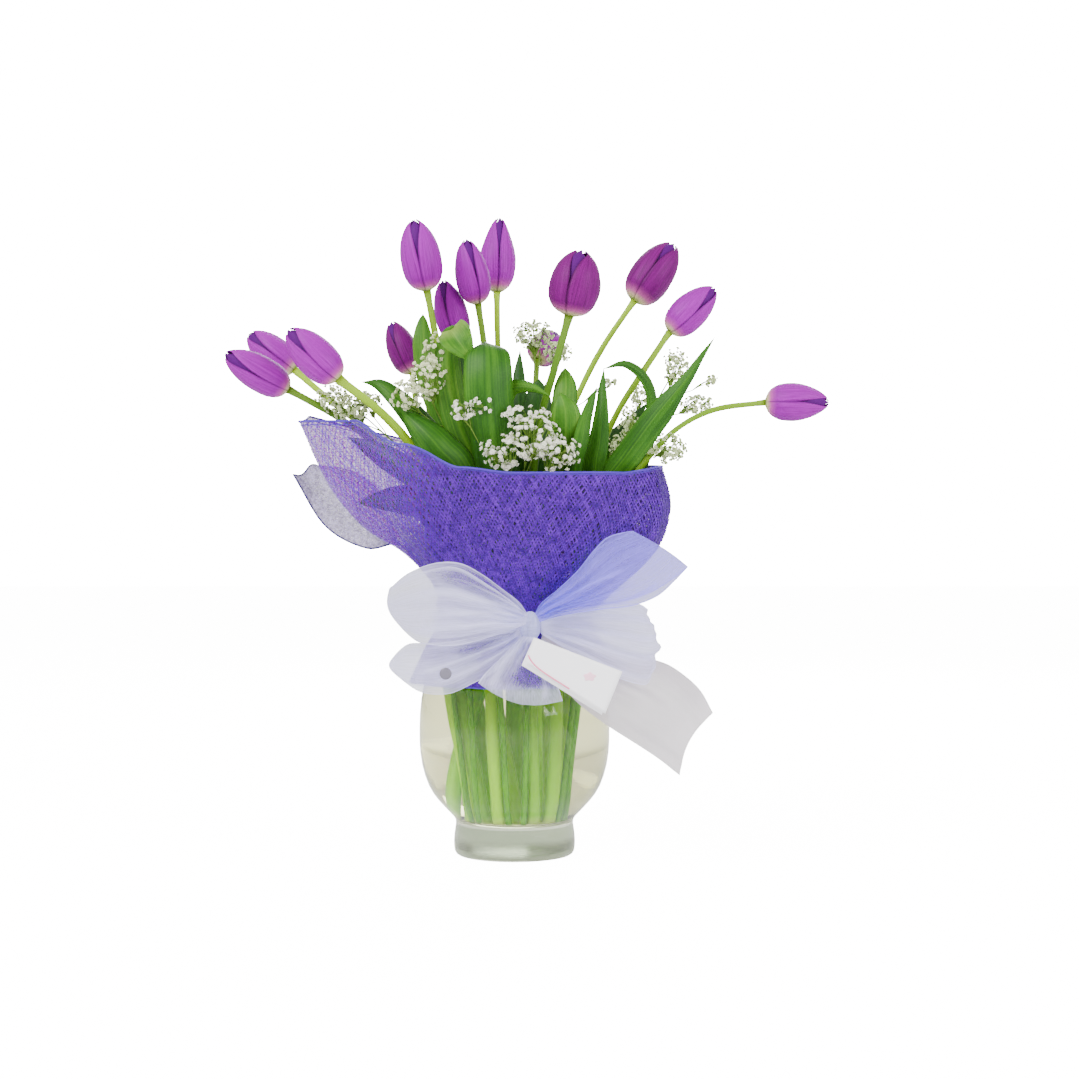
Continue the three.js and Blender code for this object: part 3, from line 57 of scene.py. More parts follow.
SPRIGS = [
  {"n":"01","p":[[-127.2,-30.0,357.6],[-99.5,-32.7,332.9],[-74.7,-34.4,311.0],[-50.0,-34.1,284.9],[-46.4,-29.1,252.7],[-46.9,-23.0,216.0],[-45.9,-18.7,183.2],[-42.1,-15.9,146.3],[-38.9,-14.5,121.7],[-35.7,-13.2,97.1],[-33.1,-12.0,76.7],[-30.0,-10.5,52.3],[-27.0,-9.0,28.9]],"cl":[{"c":[-143.5,-24.0,362.6],"s":[13.0,11.0,11.0],"f":[-114.8,-31.2,346.7]},{"c":[-126.9,-34.0,355.1],"s":[15.0,12.0,12.0],"f":[-102.5,-32.4,335.7]},{"c":[-115.3,-22.0,360.4],"s":[11.0,10.0,8.0],"f":[-99.5,-32.7,332.9]}]},
  {"n":"02","p":[[-69.6,-50.0,372.1],[-53.7,-46.6,339.9],[-39.6,-41.3,311.9],[-28.2,-36.1,279.0],[-29.3,-36.5,247.0],[-32.5,-35.9,211.1],[-32.5,-36.6,179.2],[-30.9,-33.4,143.4],[-29.4,-30.5,119.6],[-27.8,-27.6,95.8],[-26.7,-25.3,76.1],[-25.3,-22.7,52.5],[-24.0,-20.0,29.8]],"cl":[{"c":[-81.8,-54.0,364.1],"s":[14.0,12.0,12.0],"f":[-53.7,-46.6,339.9]},{"c":[-66.2,-56.0,377.2],"s":[15.0,13.0,16.0],"f":[-55.4,-47.1,343.6]},{"c":[-62.0,-46.0,399.5],"s":[10.0,10.0,13.0],"f":[-62.2,-48.7,358.0]}]},
  {"n":"03","p":[[-30.1,-72.0,350.2],[-20.5,-63.6,319.1],[-13.6,-49.1,294.4],[-12.0,-45.6,261.4],[-12.1,-46.7,231.5],[-12.0,-46.8,197.8],[-11.1,-44.8,168.0],[-9.5,-40.8,134.6],[-8.3,-37.7,112.4],[-7.1,-34.8,90.2],[-6.1,-32.5,71.7],[-4.9,-29.9,49.7],[-3.4,-27.5,28.6]],"cl":[{"c":[-38.4,-76.0,351.5],"s":[10.0,9.0,8.0],"f":[-21.3,-64.8,322.5]},{"c":[-25.4,-76.0,356.1],"s":[11.0,9.0,8.0],"f":[-21.3,-64.8,322.5]}]},
  {"n":"04","p":[[9.7,-76.0,311.8],[5.4,-55.6,292.1],[5.7,-50.6,266.4],[7.7,-49.8,236.4],[9.2,-49.0,209.7],[9.9,-46.8,179.7],[9.7,-43.7,153.1],[9.0,-39.7,123.3],[8.5,-36.9,103.5],[8.0,-34.3,83.6],[7.6,-32.3,67.1],[7.1,-29.8,47.5],[6.6,-27.2,28.7]],"cl":[{"c":[-6.2,-84.0,319.2],"s":[20.0,10.0,13.0],"f":[6.6,-60.5,295.8]},{"c":[16.6,-86.0,331.3],"s":[22.0,10.0,18.0],"f":[8.4,-68.1,301.2]},{"c":[34.1,-84.0,319.2],"s":[17.0,10.0,14.0],"f":[7.4,-63.3,297.0]},{"c":[12.7,-76.0,348.5],"s":[22.0,9.0,6.0],"f":[8.4,-68.1,301.2]}]},
  {"n":"05","p":[[20.4,66.0,407.9],[17.9,59.1,369.4],[15.7,50.7,335.6],[12.0,36.8,299.3],[9.4,35.8,264.9],[7.6,42.0,226.2],[5.3,44.9,191.7],[2.8,43.4,152.6],[0.8,41.6,126.7],[0.5,38.2,100.8],[-0.3,34.6,79.2],[-1.7,31.1,53.6],[-3.0,28.0,28.8]],"cl":[{"c":[14.6,66.0,421.2],"s":[17.0,14.0,12.0],"f":[18.7,61.8,382.2]},{"c":[35.3,58.0,405.7],"s":[12.0,10.0,10.0],"f":[17.7,58.1,365.2]},{"c":[77.8,44.0,379.3],"s":[6.0,5.0,4.0],"f":[16.0,51.8,339.8]}]},
  {"n":"06","p":[[128.0,34.0,385.2],[108.2,29.1,352.3],[88.0,23.8,325.0],[66.1,14.1,294.7],[55.7,11.3,262.3],[49.6,11.6,224.1],[45.1,11.8,189.9],[40.5,11.2,151.4],[37.7,10.5,125.7],[35.0,9.8,100.1],[32.7,9.3,78.7],[30.0,8.7,53.4],[27.8,8.3,29.1]],"cl":[{"c":[131.4,36.0,392.7],"s":[11.0,10.0,15.0],"f":[115.4,30.4,362.9]},{"c":[148.1,30.0,361.4],"s":[14.0,11.0,8.0],"f":[105.6,28.7,348.8]},{"c":[101.6,26.0,368.5],"s":[11.0,9.0,8.0],"f":[93.1,25.8,331.6]},{"c":[159.8,34.0,381.1],"s":[5.0,5.0,5.0],"f":[115.4,30.4,362.9]}]},
  {"n":"07","p":[[114.8,-28.0,323.9],[84.0,-30.5,312.1],[62.6,-24.1,293.3],[54.3,-20.1,261.3],[50.7,-18.2,231.7],[46.9,-16.5,198.3],[43.4,-15.2,168.6],[39.5,-14.2,135.2],[37.0,-13.6,113.0],[34.4,-12.9,90.7],[32.3,-12.3,72.2],[30.0,-11.4,50.3],[28.3,-10.0,29.4]],"cl":[{"c":[119.6,-26.0,324.0],"s":[17.0,12.0,12.0],"f":[100.3,-29.9,321.1]},{"c":[91.6,-18.0,343.2],"s":[9.0,9.0,14.0],"f":[81.0,-30.4,309.9]},{"c":[82.0,-20.0,325.7],"s":[8.0,8.0,9.0],"f":[66.8,-26.2,298.9]}]}
]
LEAVES = [
  {"n":"leaf_01","stem":"09","b":[{"W":[7,9,12,14.5,16.5,18,18.8,18.8,17.5,9],"w0":[1,0.1,0],"w1":[1,0.1,0],"p":[[8.6,-39.5,230.9],[9.8,-38.2,248.9],[4.6,-44.7,265.1],[-1.8,-52.9,280.3],[-8.1,-60.9,295.5],[-12.7,-67.6,311.9],[-14.8,-72.4,329.5],[-16.8,-76.6,347.2],[-18.4,-79.9,365.2],[-19.1,-79.2,383.4],[-20.0,-70.8,399.4],[-22.2,-54.0,405.1]]}]},
  {"n":"leaf_02","stem":"03","b":[{"W":[6,7,9,10.5,11.5,12,12,11.5,9.5,6.5],"w0":[1,0.3,0],"w1":[1,0.2,0.1],"p":[[-31.9,-44.9,233.7],[-37.3,-46.0,249.8],[-35.4,-45.9,267.1],[-32.7,-45.8,284.3],[-30.9,-45.9,301.6],[-33.3,-47.0,318.7],[-40.1,-49.2,334.6],[-45.1,-50.8,351.2],[-48.7,-51.8,368.2],[-50.7,-52.1,385.5],[-50.5,-51.7,402.9],[-46.8,-57.0,418.0]]},{"W":[7,10.5,12.5,13,12,10.2,8,5.4,3,0.6],"w0":[0.9,0.0,0.42],"w1":[0.8,0,0.6],"p":[[-49.2,-55.0,414.3],[-47.0,-59.2,412.2],[-44.6,-62.4,408.9],[-42.1,-64.5,404.9],[-39.2,-65.6,400.8],[-36.2,-66.0,396.5],[-33.3,-66.1,392.3],[-30.3,-66.0,388.1]]}]},
  {"n":"leaf_03","stem":"05","b":[{"W":[5,6,7,8,8.8,9.2,9.4,9.4,8.6,4.5],"w0":[1,0.2,0],"w1":[1,0.2,0],"p":[[-31.7,9.8,232.4],[-34.3,11.6,251.2],[-34.8,9.8,270.2],[-35.3,7.7,289.2],[-37.6,6.0,308.0],[-45.0,5.5,325.6],[-54.5,6.0,342.1],[-61.5,6.8,359.9],[-67.5,7.9,378.0],[-71.4,9.1,396.7],[-73.5,10.7,415.6],[-74.0,17.0,433.3]]}]},
  {"n":"leaf_04","stem":"03","b":[{"W":[6,8,10.5,12.5,13.5,13,11.5,9,5.5,0.8],"w0":[0.8,0.3,0.5],"w1":[0.4,0.4,0.8],"p":[[-38.4,-38.1,233.7],[-45.2,-37.7,248.9],[-45.5,-35.4,265.6],[-45.1,-32.8,282.3],[-45.4,-30.6,299.1],[-49.7,-30.2,315.3],[-60.4,-33.0,327.9],[-70.9,-35.6,340.9],[-81.7,-37.9,353.7],[-93.7,-38.5,365.6],[-106.8,-33.3,374.7],[-120.6,-24.0,376.0]]}]},
  {"n":"leaf_05","stem":"09","b":[{"W":[5,5,5.5,6,7,7.6,7.8,7,4.4,0.6],"w0":[1,0,0],"w1":[0.2,0.1,-1],"p":[[7.2,-37.7,230.9],[8.0,-36.9,247.1],[4.7,-38.2,263.0],[0.0,-39.9,278.5],[-4.6,-42.0,293.9],[-8.2,-44.7,309.6],[-9.4,-49.0,325.3],[-9.0,-53.9,340.8],[-8.7,-58.0,356.5],[-1.4,-62.2,369.1],[14.3,-65.9,369.1],[28.8,-67.0,361.9]]}]},
  {"n":"leaf_06","stem":"09","b":[{"W":[5,5.5,6,6.5,7.2,8.8,11,12,11,6],"w0":[1,-0.1,0],"w1":[1,-0.1,0],"p":[[14.4,-39.1,230.9],[14.2,-37.5,244.3],[17.3,-40.2,257.2],[22.1,-44.9,269.1],[27.1,-50.0,280.7],[32.0,-55.4,292.2],[36.4,-60.8,303.9],[38.9,-66.9,315.8],[39.8,-73.5,327.7],[40.2,-80.2,339.5],[39.4,-84.0,352.5],[35.6,-80.0,364.3]]},{"W":[5,6,7,8,9,9.8,10.3,10.3,9,4.5],"w0":[1,0.1,0],"w1":[1,0.1,0],"p":[[15.3,-37.7,230.9],[15.6,-36.7,245.6],[19.2,-38.1,260.0],[24.1,-40.5,273.8],[29.2,-43.0,287.5],[33.8,-45.3,301.4],[36.8,-46.8,315.8],[37.3,-47.1,330.6],[38.3,-46.9,345.4],[39.8,-46.1,360.2],[40.6,-42.8,374.6],[40.0,-34.0,386.4]]}]},
  {"n":"leaf_07","stem":"12","b":[{"W":[4,5,6,6.6,7,7,6.8,6,4,0.6],"w0":[1,0.35,0],"w1":[1,0.35,0],"p":[[53.2,-32.9,231.7],[62.3,-30.6,243.0],[63.4,-35.5,256.3],[59.2,-43.5,268.0],[54.4,-51.9,279.1],[49.7,-60.4,290.3],[46.8,-68.6,302.2],[49.0,-75.7,314.7],[52.3,-79.5,328.5],[55.2,-80.0,343.0],[59.4,-78.6,357.0],[64.0,-72.0,369.3]]},{"W":[6,8,9.6,10.4,10.4,9.4,7.8,5.8,3.4,0.6],"w0":[1,-0.3,0],"w1":[1,-0.3,0],"p":[[55.0,-32.8,231.7],[64.0,-31.4,243.5],[66.5,-34.8,257.5],[65.2,-40.6,271.2],[63.3,-46.6,284.7],[61.6,-52.5,298.3],[62.0,-57.2,312.4],[64.8,-59.7,326.8],[66.5,-60.6,341.6],[67.7,-59.4,356.4],[68.4,-55.7,370.8],[70.0,-52.0,385.2]]}]},
  {"n":"leaf_08","stem":"12","b":[{"W":[5,6.2,8,9.6,10.8,10.8,10.2,5.4,2.6,0.6],"w0":[0.8,-0.2,-0.6],"w1":[0.8,-0.2,-0.6],"p":[[56.0,-32.3,231.7],[66.5,-31.2,248.3],[69.2,-39.4,266.1],[69.8,-49.6,283.1],[74.6,-58.6,299.9],[85.6,-65.7,314.9],[96.6,-72.0,330.1],[108.1,-76.5,345.7],[120.5,-79.2,361.0],[132.8,-78.0,376.4],[143.7,-74.6,392.6],[154.6,-68.0,407.8]]}]},
  {"n":"leaf_09","stem":"11","b":[{"W":[4,4.6,5.2,5.5,5.6,5.6,5.6,5,3.4,0.6],"w0":[1,0,0],"w1":[0.1,0.2,1],"p":[[53.8,-6.0,231.5],[56.4,-5.4,250.0],[67.0,-7.3,265.5],[79.1,-9.6,279.9],[91.0,-12.1,294.4],[101.3,-14.4,310.0],[106.6,-16.4,328.0],[108.9,-18.6,346.7],[109.4,-22.3,365.1],[101.8,-30.7,380.1],[86.8,-36.3,389.5],[69.5,-41.0,385.1]]}]},
  {"n":"leaf_10","stem":"03","b":[{"W":[6,8,10.5,13,15,16,15,12,7,1],"w0":[0.75,0.1,0.6],"w1":[0.75,0.1,0.6],"p":[[-36.3,-46.0,233.7],[-42.2,-46.5,245.8],[-42.3,-49.5,259.0],[-40.8,-53.0,272.1],[-39.5,-56.5,285.2],[-39.8,-60.0,298.4],[-45.3,-63.4,310.2],[-54.5,-65.8,319.9],[-63.3,-65.7,330.2],[-72.6,-62.0,339.5],[-81.2,-55.0,347.3],[-88.5,-46.0,354.5]]},{"W":[5,7,9,11,12.6,13,12,9.5,5.5,0.8],"w0":[0.3,0.2,1],"w1":[0.1,0.3,1],"p":[[-36.1,-46.1,233.7],[-41.7,-46.4,245.9],[-41.2,-51.2,258.2],[-38.5,-57.8,269.6],[-46.2,-64.6,276.2],[-59.1,-66.9,278.2],[-71.5,-63.2,281.9],[-82.9,-56.5,283.9],[-93.4,-48.0,284.5],[-104.0,-39.8,283.9],[-114.5,-31.4,282.5],[-124.8,-23.0,280.7]]},{"W":[5,6,7,8,9,10,10.4,9.4,6,0.8],"w0":[0.5,0.1,1],"w1":[0.3,0.3,1],"p":[[-37.3,-45.6,233.7],[-43.3,-46.1,246.6],[-43.9,-50.3,260.0],[-43.1,-55.6,273.2],[-47.0,-60.2,285.7],[-59.2,-62.0,292.5],[-71.4,-60.9,299.6],[-83.1,-57.0,306.8],[-94.3,-51.8,313.7],[-105.7,-46.4,320.3],[-117.5,-41.4,326.6],[-129.8,-37.0,332.2]]}]},
  {"n":"leaf_11","stem":"01","b":[{"W":[7,9,11,12.5,13.5,14,14,13.5,12,6],"w0":[1,0.2,0],"w1":[1,0.2,0],"p":[[-55.1,-14.0,230.2],[-61.6,-15.3,245.2],[-57.0,-19.2,260.4],[-48.9,-23.8,274.2],[-40.8,-28.3,288.0],[-34.5,-32.0,302.8],[-35.1,-33.1,319.2],[-40.2,-32.1,334.9],[-42.3,-32.1,351.4],[-43.2,-31.9,368.0],[-43.3,-30.4,384.5],[-41.8,-24.0,399.6]]},{"W":[5,7,9,10,11,11,10.5,9,6,1],"w0":[1,-0.2,0],"w1":[1,-0.2,0],"p":[[-54.8,-13.5,230.2],[-62.2,-13.9,243.1],[-57.4,-17.8,256.6],[-48.4,-22.3,267.9],[-39.0,-27.0,278.8],[-29.5,-31.6,289.7],[-20.5,-36.1,301.0],[-14.5,-40.1,314.1],[-17.4,-41.9,328.6],[-19.8,-41.7,343.5],[-21.9,-39.8,358.4],[-23.4,-36.0,372.9]]}]},
  {"n":"leaf_12","stem":"07","b":[{"W":[5,6,7,8,8.5,8.5,8,6.6,4.4,0.8],"w0":[1,0,0],"w1":[1,0,0],"p":[[-3.8,21.7,233.1],[-6.6,21.6,248.7],[-4.2,18.9,264.3],[-1.1,15.7,279.8],[2.0,12.7,295.2],[4.6,10.4,310.9],[5.6,10.3,326.9],[4.5,13.0,342.7],[3.4,16.4,358.3],[3.3,19.6,374.1],[3.5,23.4,389.7],[4.2,28.0,405.1]]},{"W":[6,8,10,12,13,13.5,13.5,13,11,5],"w0":[1,0.1,0],"w1":[1,0.1,0],"p":[[-3.9,21.7,233.1],[-7.3,22.6,246.5],[-4.0,18.3,259.7],[0.5,13.1,272.3],[5.1,7.8,284.8],[9.7,2.6,297.3],[14.1,-2.3,310.0],[17.4,-6.0,323.4],[18.0,-6.3,337.6],[18.4,-5.6,351.9],[18.9,-3.7,366.0],[19.6,0.0,379.8]]}]},
  {"n":"leaf_13","stem":"04","b":[{"W":[6,8,10,11.5,12.5,13,12.5,10,6.5,1],"w0":[1,0.5,0],"w1":[1,0.5,0],"p":[[-40.6,44.9,230.0],[-44.1,48.5,246.8],[-44.6,52.1,264.0],[-44.4,55.7,281.2],[-44.4,59.5,298.4],[-45.8,63.7,315.4],[-50.3,68.9,331.5],[-57.5,75.0,346.3],[-64.2,80.9,361.5],[-68.7,86.0,377.7],[-72.9,90.9,394.0],[-77.5,96.0,410.2]]},{"W":[6,8,10,11.5,12.5,13,12.5,10,6.5,1],"w0":[1,-0.1,0],"w1":[1,-0.1,0],"p":[[-37.6,44.5,230.0],[-41.2,47.6,246.7],[-37.3,52.9,263.1],[-32.3,58.3,279.3],[-27.2,63.8,295.4],[-22.5,69.4,311.6],[-19.3,75.0,328.1],[-19.8,80.6,344.9],[-23.6,86.0,361.3],[-27.0,91.1,378.0],[-31.0,95.9,394.6],[-35.5,102.0,410.7]]}]},
  {"n":"leaf_14","stem":"10","b":[{"W":[6,8,10,11.5,12.3,12.3,11,8.4,5,0.8],"w0":[0.85,0.1,-0.5],"w1":[0.75,0,-0.65],"p":[[28.1,16.9,232.7],[28.5,17.8,246.7],[35.2,19.9,259.1],[43.2,22.4,270.7],[51.5,24.9,282.1],[59.8,27.0,293.6],[67.8,28.0,305.3],[74.8,25.5,317.4],[81.2,20.3,329.1],[89.7,17.0,340.1],[98.7,14.4,350.9],[107.4,13.0,362.1]]}]}
]
BOW = {
  "bow_loop_top_left": {"A":[[11.2,-82.0,196.0],[2.2,-92.0,207.0],[-9.8,-99.0,217.1],[-23.2,-104.0,227.1],[-39.6,-106.0,235.4],[-58.5,-104.0,235.4],[-79.1,-99.0,227.7],[-93.2,-91.0,216.1],[-90.0,-83.0,218.8],[-71.3,-76.0,227.0],[-44.7,-73.0,231.5],[-17.9,-73.0,217.0],[5.1,-75.0,201.0]],"B":[[9.7,-83.0,188.4],[-0.8,-94.0,183.7],[-12.0,-100.0,181.0],[-29.2,-105.0,176.0],[-45.6,-107.0,173.2],[-62.2,-105.0,173.8],[-73.1,-99.0,176.4],[-83.4,-91.0,184.3],[-80.1,-83.0,182.3],[-63.7,-77.0,177.4],[-40.8,-75.0,178.0],[-14.8,-75.0,183.4],[5.1,-76.0,188.0]]},
  "bow_loop_top_right": {"A":[[16.6,-82.0,196.7],[21.9,-91.0,205.5],[33.9,-99.0,215.6],[48.2,-104.0,229.4],[59.4,-107.0,243.7],[69.8,-108.0,254.2],[80.4,-106.0,257.9],[90.4,-100.0,259.4],[85.5,-91.0,257.0],[66.0,-84.0,247.8],[44.8,-79.0,224.8],[26.5,-76.0,207.1],[18.9,-75.0,197.9]],"B":[[20.4,-83.0,189.9],[32.5,-93.0,194.2],[52.0,-101.0,198.4],[69.9,-106.0,200.9],[89.3,-108.0,203.2],[107.4,-107.0,209.9],[119.5,-104.0,219.6],[131.9,-99.0,232.2],[126.5,-90.0,226.7],[105.6,-83.0,212.8],[79.9,-79.0,205.0],[49.4,-76.0,201.0],[22.7,-76.0,192.6]]},
  "bow_loop_low_right": {"A":[[21.1,-72.0,191.6],[40.2,-80.0,198.9],[59.9,-86.0,202.2],[79.5,-89.0,204.6],[96.3,-87.0,203.8],[102.8,-80.0,198.9],[95.4,-73.0,201.6],[66.5,-69.0,199.9],[35.8,-68.0,195.3]],"B":[[21.1,-73.0,180.2],[37.1,-82.0,170.8],[54.5,-89.0,160.6],[74.9,-92.0,149.5],[100.0,-90.0,142.5],[107.3,-82.0,151.0],[100.0,-75.0,145.8],[69.5,-71.0,154.0],[35.7,-69.0,175.3]]},
  "bow_loop_low_left": {"A":[[5.8,-74.0,185.6],[-6.3,-82.0,182.2],[-23.7,-87.0,179.5],[-44.1,-89.0,175.8],[-64.6,-88.0,174.2],[-80.0,-85.0,173.3],[-91.1,-78.0,163.7],[-82.5,-70.0,167.7],[-56.5,-67.0,170.6],[-25.8,-66.0,175.2],[-2.7,-67.0,179.8]],"B":[[6.6,-75.0,178.0],[-2.5,-84.0,164.8],[-13.7,-90.0,153.1],[-31.1,-92.0,143.4],[-49.3,-92.0,135.8],[-70.7,-89.0,137.1],[-88.6,-82.0,148.7],[-79.2,-73.0,141.8],[-56.4,-69.0,140.0],[-29.6,-68.0,147.6],[-4.2,-68.0,169.1]]},
  "bow_tail_centre": {"A":[[7.4,-84.0,179.3],[-3.8,-93.0,169.2],[-14.4,-97.0,158.9],[-22.6,-98.0,150.7],[-26.4,-97.0,144.6]],"B":[[18.1,-84.0,177.8],[24.2,-93.0,163.2],[30.2,-98.0,149.9],[34.7,-99.0,139.4],[37.7,-98.0,131.0]]},
  "bow_tail_right": {"A":[[22.7,-71.0,181.6],[47.2,-75.0,174.2],[73.9,-77.0,168.2],[100.6,-77.0,162.1],[118.3,-75.0,157.3],[132.4,-71.0,147.8],[144.1,-69.0,135.4],[153.0,-73.0,119.6]],"B":[[20.4,-71.0,173.2],[31.8,-78.0,151.4],[47.0,-83.0,130.5],[66.0,-85.0,115.4],[82.9,-82.0,103.7],[98.4,-77.0,93.2],[113.9,-73.0,82.7],[127.7,-74.0,72.1]]}
}
WRAP = {
  "-90": [[81,139],[72,163],[60.8,187],[65.5,205],[76,230],[90,256],[102,281],[111,303]],
  "-45": [[82,139],[72.5,163],[60.8,187],[69,207],[89,231],[106,255],[115,280],[118.5,303.5]],
  "-18": [[82,139],[72.5,163],[60.8,187],[74,206],[100,229],[118,252],[124,281],[118,309]],
  "15": [[82,139],[72.5,163],[60.8,187],[74,206],[99,229],[115,251],[122,281],[114,311]],
  "60": [[81,139],[72,163],[60.8,187],[68,207],[86,232],[101,257],[110,283],[114,309]],
  "105": [[81,139],[72,163],[60.8,187],[66,207],[82,233],[97,260],[108,290],[115,318]],
  "145": [[82,139],[72.5,163],[60.8,187],[65,209],[83,235],[104,261],[124,296],[146,340]],
  "170": [[83,139],[72.5,163],[60.8,187],[63.5,213],[86,239],[119,261],[146,296],[167,351]],
  "186": [[83,139],[72.5,163],[60.8,187],[63.5,213],[87,240],[121,262],[149,297],[171,345]],
  "206": [[82,139],[72,163],[60.8,187],[64,212],[84,239],[107,266],[124,302],[138,344]],
  "228": [[81,139],[72,163],[60.8,187],[65,209],[78,235],[94,261],[110,291],[125,325]],
  "250": [[81,139],[72,163],[60.8,187],[65.5,206],[76,231],[90,257],[103,283],[113.5,307]]
}
WING = {"A":[[-42.2,6.0,207.7],[-59.1,24.0,233.0],[-79.5,40.0,260.4],[-104.9,52.0,288.3],[-135.0,57.0,308.2],[-164.8,58.0,312.4]],"B":[[-53.2,0.0,203.1],[-76.4,14.0,230.0],[-95.1,28.0,246.7],[-121.7,36.0,243.3],[-156.0,44.0,261.2],[-182.9,50.0,303.1]]}
CARD = {"c":[[15.9,-103.0,179.7],[82.1,-101.0,153.9],[69.3,-101.0,122.3],[9.1,-103.0,161.6]]}
BEAD = [-50.7,-95.0,152.0]
KNOT = np.array([13, -72.5, 185.5])
KFLIP = True
PLEATS = 11
WATER_LEVEL = 148.0
DENS = 1.5
NW = 236
NWID = 1.15
WORLD, SKY, FLOOR_E, KEY, FILL, BACK = 1.55, 22.0, 14.0, 98, 44, 44

# ------------------------------------------------------------------ helpers
def catmull(pts, n):
    pts = np.asarray(pts, float); L = len(pts)
    p = np.linspace(0, L - 1, n); k = np.minimum(p.astype(int), L - 2); w = (p - k)[:, None]
    e = np.vstack([2 * pts[0] - pts[1], pts, 2 * pts[-1] - pts[-2]])
    p0, p1, p2, p3 = e[k], e[k + 1], e[k + 2], e[k + 3]
    t0 = .5 * (p2 - p0); t1 = .5 * (p3 - p1)
    return p1 + t0 * w + (-3 * p1 + 3 * p2 - 2 * t0 - t1) * w ** 2 + (2 * p1 - 2 * p2 + t0 + t1) * w ** 3

def even(pts, n):
    d = np.concatenate([[0], np.cumsum(np.linalg.norm(np.diff(pts, axis=0), axis=1))])
    s = np.linspace(0, d[-1], n)
    return np.stack([np.interp(s, d, pts[:, k]) for k in range(3)], 1)

def unit(v):
    return v / np.maximum(np.linalg.norm(v, axis=-1, keepdims=True), 1e-12)

def sm(x):
    x = np.clip(x, 0, 1); return x * x * (3 - 2 * x)

def grid_faces(nu, nv, closed=False, flip=False):
    """quads of a grid with nu columns (index major) and nv rows"""
    i = np.arange(nu if closed else nu - 1); j = np.arange(nv - 1)
    I, J = np.meshgrid(i, j, indexing="ij"); I2 = (I + 1) % nu
    f = np.stack([I * nv + J, I2 * nv + J, I2 * nv + J + 1, I * nv + J + 1], -1).reshape(-1, 4)
    return f[:, ::-1] if flip else f

class Build:
    def __init__(self):
        self.v = []; self.f4 = []; self.f3 = []; self.n = 0; self.a = []
    def add(self, v, f, a=None):
        v = np.asarray(v, float).reshape(-1, 3); f = np.asarray(f, int)
        self.v.append(v); (self.f4 if f.shape[1] == 4 else self.f3).append(f + self.n)
        self.a.append(np.zeros((len(v), 3)) if a is None else np.asarray(a, float).reshape(-1, 3))
        self.n += len(v)
    def faces(self, f):
        f = np.asarray(f, int); (self.f4 if f.shape[1] == 4 else self.f3).append(f)
    def make(self, name, mat, smooth=True):
        v = np.concatenate(self.v) * MM; a = np.concatenate(self.a)
        f4 = np.concatenate(self.f4) if self.f4 else np.zeros((0, 4), int)
        f3 = np.concatenate(self.f3) if self.f3 else np.zeros((0, 3), int)
        me = bpy.data.meshes.new(name)
        me.vertices.add(len(v)); me.vertices.foreach_set("co", v.ravel())
        li = np.concatenate([f4.ravel(), f3.ravel()]).astype(np.int32)
        me.loops.add(len(li)); me.loops.foreach_set("vertex_index", li)
        st = np.concatenate([np.arange(len(f4)) * 4, len(f4) * 4 + np.arange(len(f3)) * 3]).astype(np.int32)
        me.polygons.add(len(st)); me.polygons.foreach_set("loop_start", st)
        me.polygons.foreach_set("use_smooth", np.full(len(st), smooth))
        me.update(calc_edges=True); me.validate(clean_customdata=False)
        at = me.attributes.new("par", "FLOAT_VECTOR", "POINT"); at.data.foreach_set("vector", a.ravel())
        if mat is not None: me.materials.append(mat)
        o = bpy.data.objects.new(name, me); bpy.context.scene.collection.objects.link(o)
        return o

def own(o, slot, *nodes):
    if nodes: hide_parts(*nodes)
    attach(o, "root"); return o

def frames(c):
    """tangents and two normals along a line, turning as little as possible"""
    T = unit(np.gradient(c, axis=0)); N = np.zeros_like(T)
    a = np.array([1., 0, 0]) if abs(T[0][0]) < .8 else np.array([0, 1., 0])
    n = a - T[0] * (a @ T[0]); N[0] = n / np.linalg.norm(n)
    for i in range(1, len(c)):
        n = N[i - 1] - T[i] * (N[i - 1] @ T[i]); N[i] = n / np.linalg.norm(n)
    return T, N, np.cross(T, N)

def tube(b, c, r, sides=10, cap=True, par=None):
    n = len(c); r = np.broadcast_to(np.asarray(r, float), (n,))
    T, N, B = frames(c); ang = np.arange(sides) / sides * 2 * math.pi
    v = c[None] + r[None, :, None] * (np.cos(ang)[:, None, None] * N[None] + np.sin(ang)[:, None, None] * B[None])
    a = np.zeros((sides, n, 3)); a[..., 0] = np.linspace(0, 1, n)[None]; a[..., 1] = (np.arange(sides) / sides)[:, None]
    if par is not None: a[..., 2] = par
    base = b.n; b.add(v, grid_faces(sides, n, True), a)
    if cap:
        for k, s in ((0, 1), (n - 1, -1)):
            ids = base + np.arange(sides) * n + k
            ce = b.n; b.v.append(c[k][None]); b.a.append(a[0, k][None]); b.n += 1
            nx = np.roll(ids, -1)
            b.f3.append(np.stack([ids, nx, np.full(sides, ce)], 1)[:, ::-s])

def ball(b, S, par, flip=False):
    """closed body round the grid S (nu round, nv along), its two ends drawn to a point"""
    nu, nv = S.shape[:2]; base = b.n; b.add(S, grid_faces(nu, nv, True, flip), par)
    i = np.arange(nu); i2 = (i + 1) % nu
    for j, A, B in ((0, i2, i), (nv - 1, i, i2)):
        ce = b.n; b.v.append(S[:, j].mean(0)[None]); b.a.append(np.asarray(par)[:, j].mean(0)[None]); b.n += 1
        t = np.stack([base + A * nv + j, base + B * nv + j, np.full(nu, ce)], 1); b.f3.append(t[:, ::-1] if flip else t)

